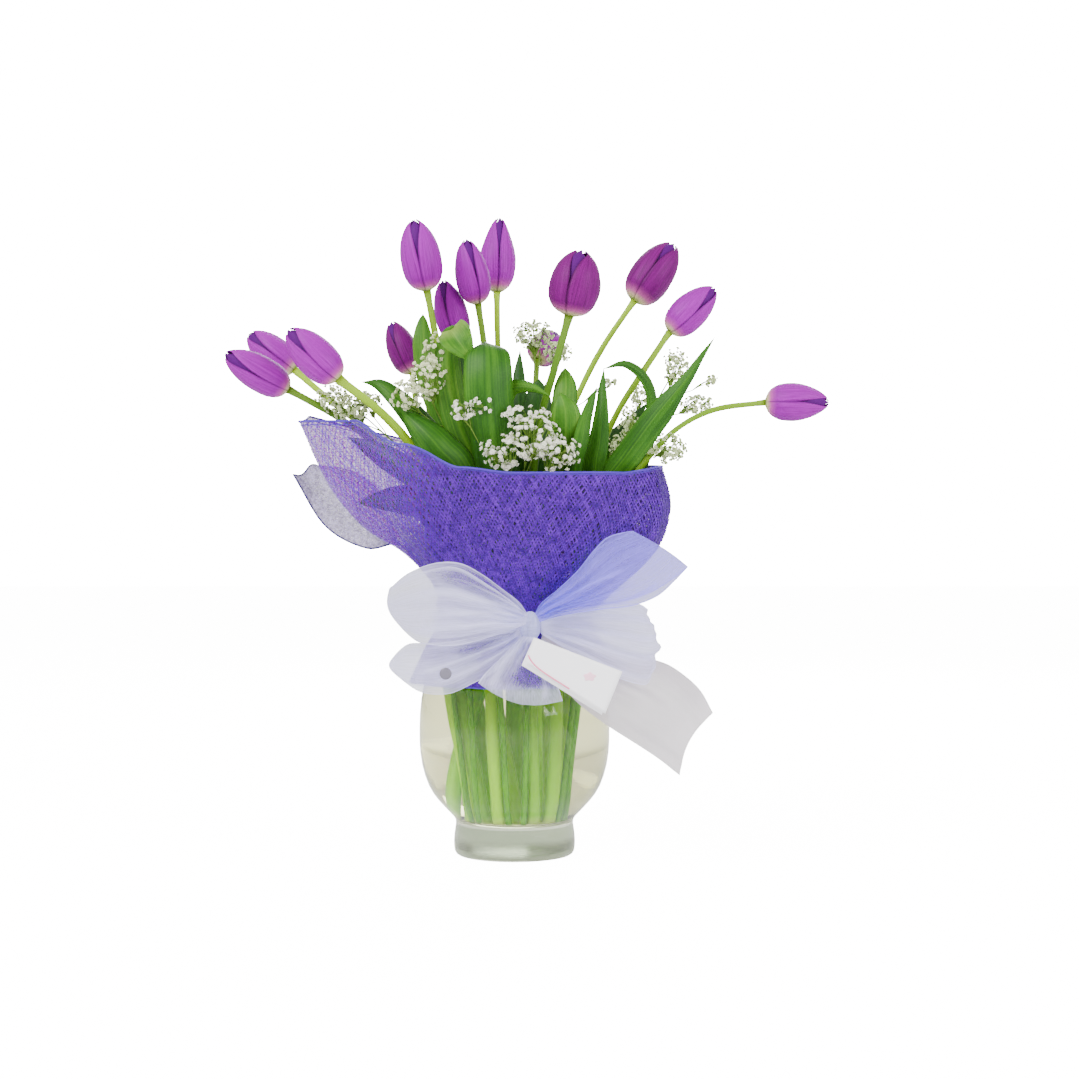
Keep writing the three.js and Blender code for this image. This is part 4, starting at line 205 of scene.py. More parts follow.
def thick(b, S, par, t):
    """closed thin body round the grid S (nu, nv, 3)"""
    nu, nv = S.shape[:2]
    N = unit(np.cross(np.gradient(S, axis=0), np.gradient(S, axis=1)))
    t = np.broadcast_to(np.asarray(t, float), (nu, nv))[..., None]
    base = b.n
    b.add(S + N * t / 2, grid_faces(nu, nv), par)
    k = nu * nv
    b.add(S - N * t / 2, grid_faces(nu, nv, flip=True), par)
    I = lambda i, j: base + i * nv + j
    q = []
    for i in range(nu - 1):
        q.append([I(i, 0), I(i, 0) + k, I(i + 1, 0) + k, I(i + 1, 0)])
        q.append([I(i, nv - 1), I(i + 1, nv - 1), I(i + 1, nv - 1) + k, I(i, nv - 1) + k])
    for j in range(nv - 1):
        q.append([I(0, j), I(0, j + 1), I(0, j + 1) + k, I(0, j) + k])
        q.append([I(nu - 1, j), I(nu - 1, j) + k, I(nu - 1, j + 1) + k, I(nu - 1, j + 1)])
    b.faces(q)

# ------------------------------------------------------------------ materials
def lin(c):
    c = np.array(c, float) / 255
    return tuple(np.where(c <= .04045, c / 12.92, ((c + .055) / 1.055) ** 2.4)) + (1.0,)

class Mat:
    def __init__(self, name):
        self.m = bpy.data.materials.new(name); self.m.use_nodes = True; self.t = self.m.node_tree
        self.t.nodes.clear(); self.out = self.n("ShaderNodeOutputMaterial")
    def n(self, kind, **k):
        x = self.t.nodes.new(kind)
        for a, v in k.items(): setattr(x, a, v)
        return x
    def l(self, a, b): self.t.links.new(a, b)
    def par(self):
        at = self.n("ShaderNodeAttribute", attribute_name="par"); s = self.n("ShaderNodeSeparateXYZ")
        self.l(at.outputs["Vector"], s.inputs[0]); return at.outputs["Vector"], s
    def ramp(self, src, stops, interp="LINEAR"):
        r = self.n("ShaderNodeValToRGB"); r.color_ramp.interpolation = interp
        e = r.color_ramp.elements
        while len(e) < len(stops): e.new(.5)
        for x, (p, c) in zip(e, stops): x.position = p; x.color = c
        self.l(src, r.inputs[0]); return r.outputs[0]
    def mix(self, f, a, b, mode="MIX"):
        x = self.n("ShaderNodeMix", data_type="RGBA", blend_type=mode)
        for s, v in ((x.inputs[0], f), (x.inputs[6], a), (x.inputs[7], b)):
            if hasattr(v, "is_linked") or isinstance(v, bpy.types.NodeSocket): self.l(v, s)
            else: s.default_value = v
        return x.outputs[2]
    def math(self, op, a, b=0.0, c=None):
        x = self.n("ShaderNodeMath", operation=op)
        for i, v in enumerate([a, b] + ([c] if c is not None else [])):
            if isinstance(v, bpy.types.NodeSocket): self.l(v, x.inputs[i])
            else: x.inputs[i].default_value = v
        return x.outputs[0]
    def noise(self, vec, scale, detail=2.0, rough=.5, stretch=None):
        if stretch is not None:
            mp = self.n("ShaderNodeMapping"); mp.inputs["Scale"].default_value = stretch; self.l(vec, mp.inputs[0]); vec = mp.outputs[0]
        x = self.n("ShaderNodeTexNoise"); x.inputs["Scale"].default_value = scale; x.inputs["Detail"].default_value = detail
        x.inputs["Roughness"].default_value = rough
        self.l(vec, x.inputs["Vector"]); return x.outputs[0]
    def principled(self, **k):
        p = self.n("ShaderNodeBsdfPrincipled")
        for a, v in k.items():
            s = p.inputs[a.replace("_", " ")]
            if isinstance(v, bpy.types.NodeSocket): self.l(v, s)
            else: s.default_value = v
        return p
    def bump(self, h, strength, dist):
        x = self.n("ShaderNodeBump"); x.inputs["Strength"].default_value = strength; x.inputs["Distance"].default_value = dist
        self.l(h, x.inputs["Height"]); return x.outputs[0]
    def finish(self, shader):
        self.l(shader, self.out.inputs[0]); return self.m
    def mixs(self, f, a, b):
        x = self.n("ShaderNodeMixShader")
        if isinstance(f, bpy.types.NodeSocket): self.l(f, x.inputs[0])
        else: x.inputs[0].default_value = f
        self.l(a, x.inputs[1]); self.l(b, x.inputs[2]); return x.outputs[0]

def m_glass(name, ior, col, rough=0.0, shadow=(0.93, .95, .93, 1)):
    m = Mat(name); g = m.principled(Base_Color=col, Roughness=rough, IOR=ior, Transmission_Weight=1.0, Specular_Tint=(.5, .5, .5, 1))
    tr = m.n("ShaderNodeBsdfTransparent"); tr.inputs[0].default_value = shadow
    lp = m.n("ShaderNodeLightPath")
    return m.finish(m.mixs(lp.outputs["Is Shadow Ray"], g.outputs[0], tr.outputs[0]))

def m_petal(name="petal", C=None):
    m = Mat(name); v, s = m.par()   # x across -1..1, y along 0..1, z petal seed
    y = s.outputs[1]
    streak = m.noise(v, 1.0, 3, .6, (26, 1.6, 9))
    fine = m.noise(v, 1.0, 2, .6, (70, 3.0, 9))
    body = m.ramp(streak, [(.25, lin(C["petal_dark"])), (.5, lin(C["petal_mid"])), (.78, lin(C["petal_lit"]))])
    body = m.mix(m.math("MULTIPLY", fine, .35), body, lin(C["petal_lit"]))
    foot = m.ramp(y, [(0.0, lin((150, 180, 70))), (.035, lin((214, 196, 150))), (.085, lin((206, 104, 170))), (.2, lin(C["petal_mid"]))])
    k = m.ramp(m.math("ADD", y, m.math("MULTIPLY", m.math("SUBTRACT", streak, .5), .16)), [(0.02, (0, 0, 0, 1)), (.2, (1, 1, 1, 1))])
    col = m.mix(k, foot, body)
    # painted shade: the petal margins darken towards the seams where neighbouring petals meet
    ax = m.math("ABSOLUTE", s.outputs[0])
    edge = m.ramp(ax, [(.90, (0, 0, 0, 1)), (1.0, (1, 1, 1, 1))])
    col = m.mix(m.math("MULTIPLY", edge, .8), col, lin(C["petal_seam_shade"]))
    b = m.bump(m.math("ADD", streak, m.math("MULTIPLY", fine, .5)), .25, .0006)
    p = m.principled(Base_Color=col, Roughness=.45); m.l(b, p.inputs["Normal"])
    p.inputs["Specular IOR Level"].default_value = .12
    t = m.n("ShaderNodeBsdfTranslucent"); m.l(col, t.inputs[0])
    return m.finish(m.mixs(.16, p.outputs[0], t.outputs[0]))

def m_leaf(name, dark, mid, lit, trans=.22):
    m = Mat(name); v, s = m.par()   # x across -1..1, y along, z seed
    veins = m.noise(v, 1.0, 2, .5, (16, .9, 7)); big = m.noise(v, 1.0, 2, .5, (1.3, 3.2, 5))
    col = m.ramp(m.math("ADD", m.math("MULTIPLY", veins, .45), m.math("MULTIPLY", big, .55)), [(.30, lin(dark)), (.5, lin(mid)), (.72, lin(lit))])
    rib = m.ramp(m.math("ABSOLUTE", s.outputs[0]), [(0.0, (1, 1, 1, 1)), (.10, (0, 0, 0, 1))])
    col = m.mix(m.math("MULTIPLY", rib, .4), col, lin(lit))
    foot = m.ramp(s.outputs[1], [(0.0, (1, 1, 1, 1)), (.35, (0, 0, 0, 1))])
    col = m.mix(m.math("MULTIPLY", foot, .5), col, lin((168, 190, 92)))
    p = m.principled(Base_Color=col, Roughness=.48); p.inputs["Specular IOR Level"].default_value = .22
    m.l(m.bump(veins, .3, .0006), p.inputs["Normal"])
    t = m.n("ShaderNodeBsdfTranslucent"); m.l(m.mix(.5, col, lin((150, 190, 40))), t.inputs[0])
    return m.finish(m.mixs(trans, p.outputs[0], t.outputs[0]))

def m_stem():
    m = Mat("stem"); v, s = m.par()   # x along from the head, y round, z the stem's painted shade level, dark to light
    n = m.noise(v, 1.0, 2, .5, (3.0, 11, 11))
    # along the stem: darker olive higher up, and in the vase a much brighter saturated green, painted light to make up
    # for the light the glass, water and bow take
    along = m.ramp(s.outputs[0], [(0.0, lin((108, 128, 44))), (.12, lin((76, 102, 24))), (.42, lin((82, 120, 18))), (.62, lin((146, 228, 10))), (.97, lin((154, 234, 4))), (1.0, lin((210, 222, 130)))])
    # painted light and shade: streaks blend each stem towards its own shade level, dark green for shaded stems, light
    # green for lit ones
    col = m.mix(m.math("MULTIPLY_ADD", n, .5, .16), along, m.mix(s.outputs[2], lin((52, 112, 0)), lin((194, 242, 14))))
    p = m.principled(Base_Color=col, Roughness=.4, Subsurface_Weight=0.0); p.inputs["Specular IOR Level"].default_value = .15
    return m.finish(p.outputs[0])

def m_plain(name, c, rough=.5, trans=0.0, spec=.4, sheen=0.0):
    m = Mat(name); p = m.principled(Base_Color=lin(c), Roughness=rough, Sheen_Weight=sheen); p.inputs["Specular IOR Level"].default_value = spec
    if not trans: return m.finish(p.outputs[0])
    t = m.n("ShaderNodeBsdfTranslucent"); t.inputs[0].default_value = lin(c)
    return m.finish(m.mixs(trans, p.outputs[0], t.outputs[0]))

def m_twig():
    m = Mat("gyp_stem"); tc = m.n("ShaderNodeTexCoord"); xyz = m.n("ShaderNodeSeparateXYZ"); m.l(tc.outputs["Object"], xyz.inputs[0])
    n = m.noise(tc.outputs["Object"], 260.0, 1, .5, (1, 1, .2))
    # the twigs in the vase are a brighter saturated green, painted light to make up for the light the glass and water
    # take; above the vase they are brownish green
    low = m.mix(n, lin((52, 120, 0)), lin((104, 184, 0))); high = m.mix(n, lin((66, 104, 22)), lin((116, 146, 58)))
    k = m.ramp(xyz.outputs[2], [(.17, (0, 0, 0, 1)), (.24, (1, 1, 1, 1))])
    p = m.principled(Base_Color=m.mix(k, low, high), Roughness=.6); p.inputs["Specular IOR Level"].default_value = .2
    return m.finish(p.outputs[0])

def m_net(name, a, b, trans=.3, far=None):
    m = Mat(name); v, s = m.par()
    tc = m.n("ShaderNodeTexCoord"); n = m.noise(tc.outputs["Object"], 150.0, 2, .6); n2 = m.noise(tc.outputs["Object"], 900.0, 1, .5)
    col = m.ramp(m.math("ADD", m.math("MULTIPLY", n, .5), m.math("MULTIPLY", n2, .5)), [(.36, lin(a)), (.64, lin(b))])
    if far:
        xyz = m.n("ShaderNodeSeparateXYZ"); m.l(tc.outputs["Object"], xyz.inputs[0])
        left = m.math("MINIMUM", m.math("MAXIMUM", m.math("MULTIPLY_ADD", xyz.outputs[0], -22.0, -1.15), 0.0), 1.0)
        col = m.mix(m.math("MULTIPLY", left, .6), col, lin(far))
    p = m.principled(Base_Color=col, Roughness=.6); p.inputs["Specular IOR Level"].default_value = .2; t = m.n("ShaderNodeBsdfTranslucent"); m.l(col, t.inputs[0])
    sh = m.mixs(trans, p.outputs[0], t.outputs[0])
    if far:
        tr = m.n("ShaderNodeBsdfTransparent"); sh = m.mixs(m.math("MULTIPLY_ADD", left, -.56, 1.0), tr.outputs[0], sh)
    return m.finish(sh)

def m_gauze(name, a, b, far, alpha, trans=.35):
    """fine see-through mesh: speckled colour and cover, turning to the far colour at the left"""
    m = Mat(name); tc = m.n("ShaderNodeTexCoord"); o = tc.outputs["Object"]; xyz = m.n("ShaderNodeSeparateXYZ"); m.l(o, xyz.inputs[0])
    n = m.noise(o, 120.0, 2, .6); n2 = m.noise(o, 400.0, 1.5, .6); n3 = m.noise(o, 560.0, 1, .5, (1.0, 1.0, 1.5))
    col = m.ramp(m.math("ADD", m.math("MULTIPLY", n, .25), m.math("MULTIPLY", n2, .75)), [(.40, lin(a)), (.60, lin(b))])
    al = m.math("MULTIPLY_ADD", m.math("SUBTRACT", n3, .5), 2.6, alpha)
    if far:
        left = m.math("MINIMUM", m.math("MAXIMUM", m.math("MULTIPLY_ADD", xyz.outputs[0], -22.0, -1.15), 0.0), 1.0)
        col = m.mix(m.math("MULTIPLY", left, .7), col, lin(far)); al = m.math("SUBTRACT", al, m.math("MULTIPLY", left, .52))
    al = m.math("MINIMUM", m.math("MAXIMUM", al, .12), .98)
    p = m.principled(Base_Color=col, Roughness=.6); p.inputs["Specular IOR Level"].default_value = .2; t = m.n("ShaderNodeBsdfTranslucent"); m.l(col, t.inputs[0])
    tr = m.n("ShaderNodeBsdfTransparent")
    return m.finish(m.mixs(al, tr.outputs[0], m.mixs(trans, p.outputs[0], t.outputs[0])))

def m_organza(name, c, alpha, edge=.85, streak=.62):
    m = Mat(name); v, s = m.par()    # x along, y across 0..1, z gather
    tc = m.n("ShaderNodeTexCoord"); n = m.noise(tc.outputs["Object"], 45.0, 2, .6)
    w = m.noise(v, 1.0, 3, .6, (7, 60, 3))
    e = m.ramp(m.math("ABSOLUTE", m.math("SUBTRACT", s.outputs[1], .5)), [(.465, (0, 0, 0, 1)), (.492, (1, 1, 1, 1))])
    a = m.math("ADD", m.math("MULTIPLY", m.math("SUBTRACT", w, .5), streak), alpha)
    a = m.math("ADD", a, m.math("MULTIPLY", s.outputs[2], .42))
    a = m.math("MAXIMUM", a, m.math("MULTIPLY", e, edge))
    a = m.math("MINIMUM", m.math("MAXIMUM", a, .12), .97)
    p = m.principled(Base_Color=lin(c), Roughness=.5, Sheen_Weight=.06); p.inputs["Specular IOR Level"].default_value = .25
    t = m.n("ShaderNodeBsdfTranslucent"); t.inputs[0].default_value = lin(c)
    tr = m.n("ShaderNodeBsdfTransparent")
    return m.finish(m.mixs(a, tr.outputs[0], m.mixs(.42, p.outputs[0], t.outputs[0])))

PA = {"petal_dark": (86, 0, 96), "petal_mid": (136, 1, 150), "petal_lit": (172, 14, 186), "petal_seam_shade": (75, 1, 90)}
PB = {"petal_dark": (60, 0, 60), "petal_mid": (96, 0, 94), "petal_lit": (122, 4, 120), "petal_seam_shade": (48, 1, 50)}
MAT = {
    "glass": m_glass("glass", 1.5, (.91, .885, .79, 1)), "glass_foot": m_glass("glass_foot", 1.5, (.34, .39, .28, 1), .2), "water": m_glass("water", 1.333, (.86, .89, .64, 1)),
    # the inner petals are a darker plain purple: painted shade that deepens the seams between the outer petals
    "petal": m_petal("petal", PA), "petal_b": m_petal("petal_deep", PB), "petal_in": m_plain("petal_inner_painted_shade", (74, 0, 96), .6, .05, .1), "stem": m_stem(),
    "leaf_a": m_leaf("leaf_a", (16, 55, 5), (40, 91, 11), (76, 129, 28)),
    "leaf_b": m_leaf("leaf_b", (32, 80, 10), (63, 115, 22), (105, 149, 47)),
    "leaf_c": m_leaf("leaf_c", (10, 39, 6), (25, 68, 11), (52, 100, 22)),
    # the wrap net's speckle between dark and light violet stands for fine threads and holes; its dark end is painted
    # shade of the leaves and stems behind
    "net": m_net("net", (54, 4, 122), (112, 34, 200), .3, (104, 16, 226)), "net_pale": m_net("net_pale", (168, 160, 190), (214, 208, 228), .4),
    # the wrap's gauze is speckled in very dark violet: painted shade of the leaves and stems seen through the net
    "gauze": m_gauze("net_gauze", (24, 0, 56), (90, 18, 156), (156, 16, 190), .86), "gauze_pale": m_gauze("net_gauze_pale", (150, 140, 168), (202, 194, 226), None, .66),
    "cord": m_plain("selvedge", (62, 24, 158), .6), "cord_dark": m_plain("selvedge_dark", (34, 18, 96), .6), "organza": m_organza("organza", (222, 220, 255), .52),
    "organza_dense": m_organza("organza_dense", (216, 218, 255), .62), "organza_tail": m_organza("organza_tail", (204, 195, 206), .84, .92, .12), "organza_thin": m_organza("organza_thin", (150, 138, 255), .44),
    "card": m_plain("card_white", (248, 246, 255), .55, .0), "blush": m_plain("card_blush", (250, 196, 220), .6), "pink": m_plain("card_pink", (232, 120, 160), .6),
    "disc": m_plain("disc_grey", (104, 100, 116), .35), "floret": m_plain("floret", (250, 249, 240), .7, .25), "floret_back": m_plain("floret_back", (216, 226, 182), .7, .3), "floret_mid": m_plain("floret_mid", (236, 240, 208), .7, .3),
    "gyp": m_twig(), "calyx": m_plain("calyx", (176, 196, 140), .6),
}

# ------------------------------------------------------------------ vase and water
OUT = [(0, 1.4), (20, 1.3), (36, 1.2), (41, .9), (43.4, 0), (45.2, .25), (46.8, 1.4), (47.9, 3.4), (48.4, 7), (48.5, 11), (48.2, 16), (47.5, 21), (46.9, 25), (47.2, 28), (48.6, 30.6), (51.6, 33.8), (56, 38.4), (60.6, 43.4), (64.8, 48.8), (68.6, 55.4), (71.6, 63.4), (73.9, 72), (75.4, 82), (76, 92), (76, 102), (75.6, 113), (74.5, 124.5), (72.6, 135.6), (69.7, 146.6), (66.6, 156), (63.4, 164.7), (61, 171.6), (59.2, 177.4), (57.9, 182.6), (57.6, 186.6), (57.9, 190.6), (59, 195), (60.5, 198.8), (61.0, 200.4), (60.5, 201.3), (59.5, 201.4)]
INN = [(58.3, 200.6), (56.2, 197), (54.8, 192.6), (54.1, 187), (54.5, 181.6), (56, 176), (58, 169.6), (60.3, 163), (63.4, 154.6), (66.6, 145.4), (69.2, 135.4), (71.2, 124.4), (72.2, 113), (72.5, 102), (72.3, 92), (71.4, 83), (69.9, 73.6), (67.3, 64.2), (63.8, 55.6), (59.6, 48.8), (54.6, 42.4), (49.6, 38), (44, 34), (38, 30.6), (30, 27.6), (22, 26), (12, 25.1), (0, 24.9)]
def lathe(name, prof, mat, seg=128, close_axis=True):
    p = np.array(prof, float); b = Build(); n = len(p)
    a = np.arange(seg) / seg * 2 * math.pi
    on = p[:, 0] < 1e-6
    ids = np.zeros((seg, n), int); vs = []; k = 0
    for j in range(n):
        if on[j]: vs.append(np.array([[0, 0, p[j, 1]]])); ids[:, j] = k; k += 1
        else:
            vs.append(np.stack([p[j, 0] * np.cos(a), p[j, 0] * np.sin(a), np.full(seg, p[j, 1])], 1)); ids[:, j] = k + np.arange(seg); k += seg
    b.v.append(np.concatenate(vs)); b.a.append(np.zeros((k, 3))); b.n = k
    q = []; t = []
    for j in range(n - 1):
        i = np.arange(seg); i2 = (i + 1) % seg
        A, B_, C_, D = ids[i, j], ids[i2, j], ids[i2, j + 1], ids[i, j + 1]
        if on[j]: t.append(np.stack([A, C_, D], 1))
        elif on[j + 1]: t.append(np.stack([A, B_, C_], 1))
        else: q.append(np.stack([A, B_, C_, D], 1))
    if q: b.faces(np.concatenate(q))
    if t: b.faces(np.concatenate(t))
    return b.make(name, mat)
vase = own(lathe("vase_glass", OUT + INN, MAT["glass"]), "glass", "vase")
vase.data.materials.append(MAT["glass_foot"])
for pl in vase.data.polygons:
    if pl.center.z < .0235: pl.material_index = 1
inner = [(r + .12 if r else 0, z - .12) for r, z in INN if z < WATER_LEVEL - .5][::-1]
wtop = np.interp(WATER_LEVEL, [145.4, 154.6], [66.6, 63.4])
water = own(lathe("water_body", inner + [(wtop + .1, WATER_LEVEL + .7), (wtop - 1.0, WATER_LEVEL + .15), (wtop - 3, WATER_LEVEL), (0, WATER_LEVEL)], MAT["water"]), "water", "water")

# ------------------------------------------------------------------ stems
RV = {"01":2.7,"02":2.6,"03":3.4,"04":2.3,"05":2.7,"06":2.5,"07":2.45,"08":2.45,"09":2.9,"10":2.4,"11":2.5,"12":2.2,"13":2.3}
FLOOR = lambda r: np.interp(r, [p[0] for p in INN[::-1]], [p[1] for p in INN[::-1]])
for i, t in enumerate(TULIPS):
    c = even(catmull(t["p"], 400), 90); b = Build()
    u = np.linspace(0, 1, 90); r0 = RV[t["n"]]; r = r0 + (t["rb"] - r0) * sm((u - .18) / .45)
    r = r * (1 + .03 * np.sin(u * 37 + i)); r[0] *= 1.25; r[1] *= 1.12
    # par z sets each stem's painted shade level; stem 09 gets the darkest
    tube(b, c, r, 14, par=0.0 if t["n"] == "09" else (i * 37 % 13) / 13)
    own(b.make("tulip_stem_" + t["n"], MAT["stem"]), "stem", "stem_" + t["n"])

# ------------------------------------------------------------------ heads
CAM = np.array([20.0, -1699.8, 275.3])
PROF_T = [0, .03, .07, .13, .22, .34, .46, .58, .70, .80, .88, .94, .98, 1]
PROF_R = [.16, .42, .62, .79, .925, .99, 1.0, .965, .87, .735, .57, .40, .23, .10]
# where the seam between two outer petals lies on each head, degrees to the right of the line of sight, and how far the head is open
SEAM = [[10,0,0],[0,0,0],[10,0,0],[22,0,0.05],[8,0,0],[14,0,0.05],[-14,0,0.08],[-8,0,0.22],[16,0.3,0],[14,0,0],[-16,0,0.05],[2,0,0.1],[0,0,0]]
def head(t, i):
    tip, base = np.array(t["tip"]), np.array(t["base"]); L = np.linalg.norm(tip - base); ax = (tip - base) / L; R = t["w"] / 2
    c = unit(CAM - base); c = c - ax * (c @ ax); c /= np.linalg.norm(c); e = np.cross(ax, c) * -1
    if e @ np.array([1., 0, 0]) < 0 and abs(ax[2]) > .5: e = e   # e points to the right of the sight line
    seam, seed = math.radians(SEAM[i][0]), i * 7.3
    rr = np.random.default_rng(100 + i)
    b = Build(); bi = Build(); nu, nv = 19, 27
    s = np.linspace(-1, 1, nu)[:, None]; v = np.linspace(0, 1, nv)[None]
    for k in range(6):
        outer = k >= 3; kk = k % 3
        a0 = seam + math.pi / 3 + kk * 2 * math.pi / 3 + (0 if outer else math.pi / 3) + rr.normal(0, .03)
        top = (1.0 if not outer else .985 - .02 * rr.random()); kr = (1.0 if outer else .87)
        tt = v * top; Rt = np.interp(tt, PROF_T, PROF_R) * R * kr * (1 - SEAM[i][2] * sm((tt - .4) / .5))
        # angular half width: full at the foot, drawn in towards the pointed tip
        hw = np.interp(v, [0, .1, .3, .5, .64, .76, .86, .93, .975, 1], [1.12, 1.09, 1.045, .995, .965, .90, .79, .61, .38, .12]) if outer else np.interp(v, [0, .5, .8, .93, 1], [1.1, 1.1, 1.0, .75, .12])
        ang = a0 + s * hw * (1 + SEAM[i][1] * -.06) + .05 * np.sin(v * 5 + k)
        rad = Rt * (1 + .015 * np.cos(s * math.pi)) + (.55 * s + .35) * (1 if outer else .4)
        rad = rad - .035 * R * np.exp(-(s / .10) ** 2) * sm((1 - v) * 4) * (1 if outer else .3) * .6
        rad = rad + (.025 * R * sm((np.abs(s) - .75) / .25) * np.sin(v * 9 + k * 2 + i)) * sm(v * 3)
        rad = rad + SEAM[i][1] * R * .10 * sm((v - .55) / .45) * (1 if outer else .5)
        z = tt * L + (.012 * L * np.cos(s * 2.2) - .012 * L) * sm(v) - .02 * L * sm(v * 8) * 0
        S = base + ax * z[..., None] + (np.cos(ang) * rad)[..., None] * c + (np.sin(ang) * rad)[..., None] * e
        par = np.zeros((nu, nv, 3)); par[..., 0] = s; par[..., 1] = v; par[..., 2] = k * 1.7 + seed
        thick(b if outer else bi, S, par, .55)
    own(bi.make("tulip_inner_" + t["n"], MAT["petal_in"]), "petal")
    o = b.make("tulip_" + t["n"], MAT["petal_b" if t["n"] in ("04", "09", "10") else "petal"])
    return own(o, "petal", "tulip_head_" + t["n"])
for i, t in enumerate(TULIPS): head(t, i)

# ------------------------------------------------------------------ leaves
def blade(b, L, seed, wav=1.0):
    nu, nv = 13, 50
    C_ = even(catmull(L["p"], 300), nv); T = unit(np.gradient(C_, axis=0))
    u = np.linspace(0, 1, nv); w0, w1 = unit(np.array(L["w0"], float)), unit(np.array(L["w1"], float))
    D = w0[None] * (1 - u)[:, None] + w1[None] * u[:, None]; D = unit(D - T * np.sum(D * T, 1)[:, None]); N = np.cross(D, T)
    hw = np.interp(u, np.linspace(0, 1, 10), L["W"]); hw[1:-1] = .25 * hw[:-2] + .5 * hw[1:-1] + .25 * hw[2:]
    W = max(L["W"]); f = hw * np.sqrt(np.clip(1 - (np.maximum(u, .9) - .9) ** 2 * 100, .0004, 1)) / W
    s = np.linspace(-1, 1, nu)[:, None]
    r = np.random.default_rng(seed); ph = r.random(4) * 6.28
    wave = (np.sin(u * 11 + ph[0]) * .10 + np.sin(u * 23 + ph[1]) * .04)[None] * (np.abs(s) ** 2) * np.sign(s) * W * wav
    wave = wave + (np.sin(u * 8 + ph[2]) * .07)[None] * (s ** 2) * W * wav
    fold = -(np.sqrt(s ** 2 + .02) - .14) * .26 - .10 * s ** 2
    S = C_[None] + D[None] * (s * W * f[None])[..., None] + N[None] * ((fold * W * f[None]) + wave * sm(f)[None])[..., None]
    par = np.zeros((nu, nv, 3)); par[..., 0] = s; par[..., 1] = u[None]; par[..., 2] = seed
    edge = .35 + .65 * (1 - np.abs(s) ** 3)
    thick(b, S, par, .7 * edge * np.ones((1, nv)))
LM = ["leaf_a","leaf_b","leaf_b","leaf_a","leaf_b","leaf_b","leaf_a","leaf_a","leaf_a","leaf_a","leaf_c","leaf_c","leaf_a","leaf_c"]
for i, L in enumerate(LEAVES):
    b = Build()
    for j, q in enumerate(L["b"]): blade(b, q, i * 5 + j)
    own(b.make("tulip_" + L["n"], MAT[LM[i]]), "leaf", L["n"])

# ------------------------------------------------------------------ baby's breath
def floret_proto(r):
    """one small double flower, up +Z, about 2 across: rings of petals"""
    v = []; f = []; n = 0
    for ring, (cnt, tilt, ln, z0) in enumerate([(6, .25, 1.0, 0), (5, .75, .78, .12), (3, 1.2, .5, .2)]):
        for k in range(cnt):
            a = 2 * math.pi * (k + .5 * ring) / cnt + r.normal(0, .12); ti = tilt + r.normal(0, .14); w = .46 * ln
            d = np.array([math.cos(a) * math.cos(ti), math.sin(a) * math.cos(ti), math.sin(ti)]); p = np.array([-math.sin(a), math.cos(a), 0])
            up = np.cross(d, p) * -1
            base = np.array([0, 0, z0])
            q = [base + p * .08, base - p * .08, base + d * ln * .6 - p * w + up * .10, base + d * ln * .6 + p * w + up * .10, base + d * ln - p * w * .55 - up * .05, base + d * ln + p * w * .55 - up * .05, base + d * ln * .62 - up * .06]
            v += q; f += [[n, n + 1, n + 6], [n + 1, n + 2, n + 6], [n + 2, n + 4, n + 6], [n + 4, n + 5, n + 6], [n + 5, n + 3, n + 6], [n + 3, n, n + 6]]; n += 7
    return np.array(v), np.array(f)
PROTO = [floret_proto(np.random.default_rng(50 + k)) for k in range(5)]
def rot_to(d):
    d = d / np.linalg.norm(d); z = np.array([0, 0, 1.]); x = np.cross([.3, .7, .1], d); x /= np.linalg.norm(x); y = np.cross(d, x)
    return np.stack([x, y, d], 1)
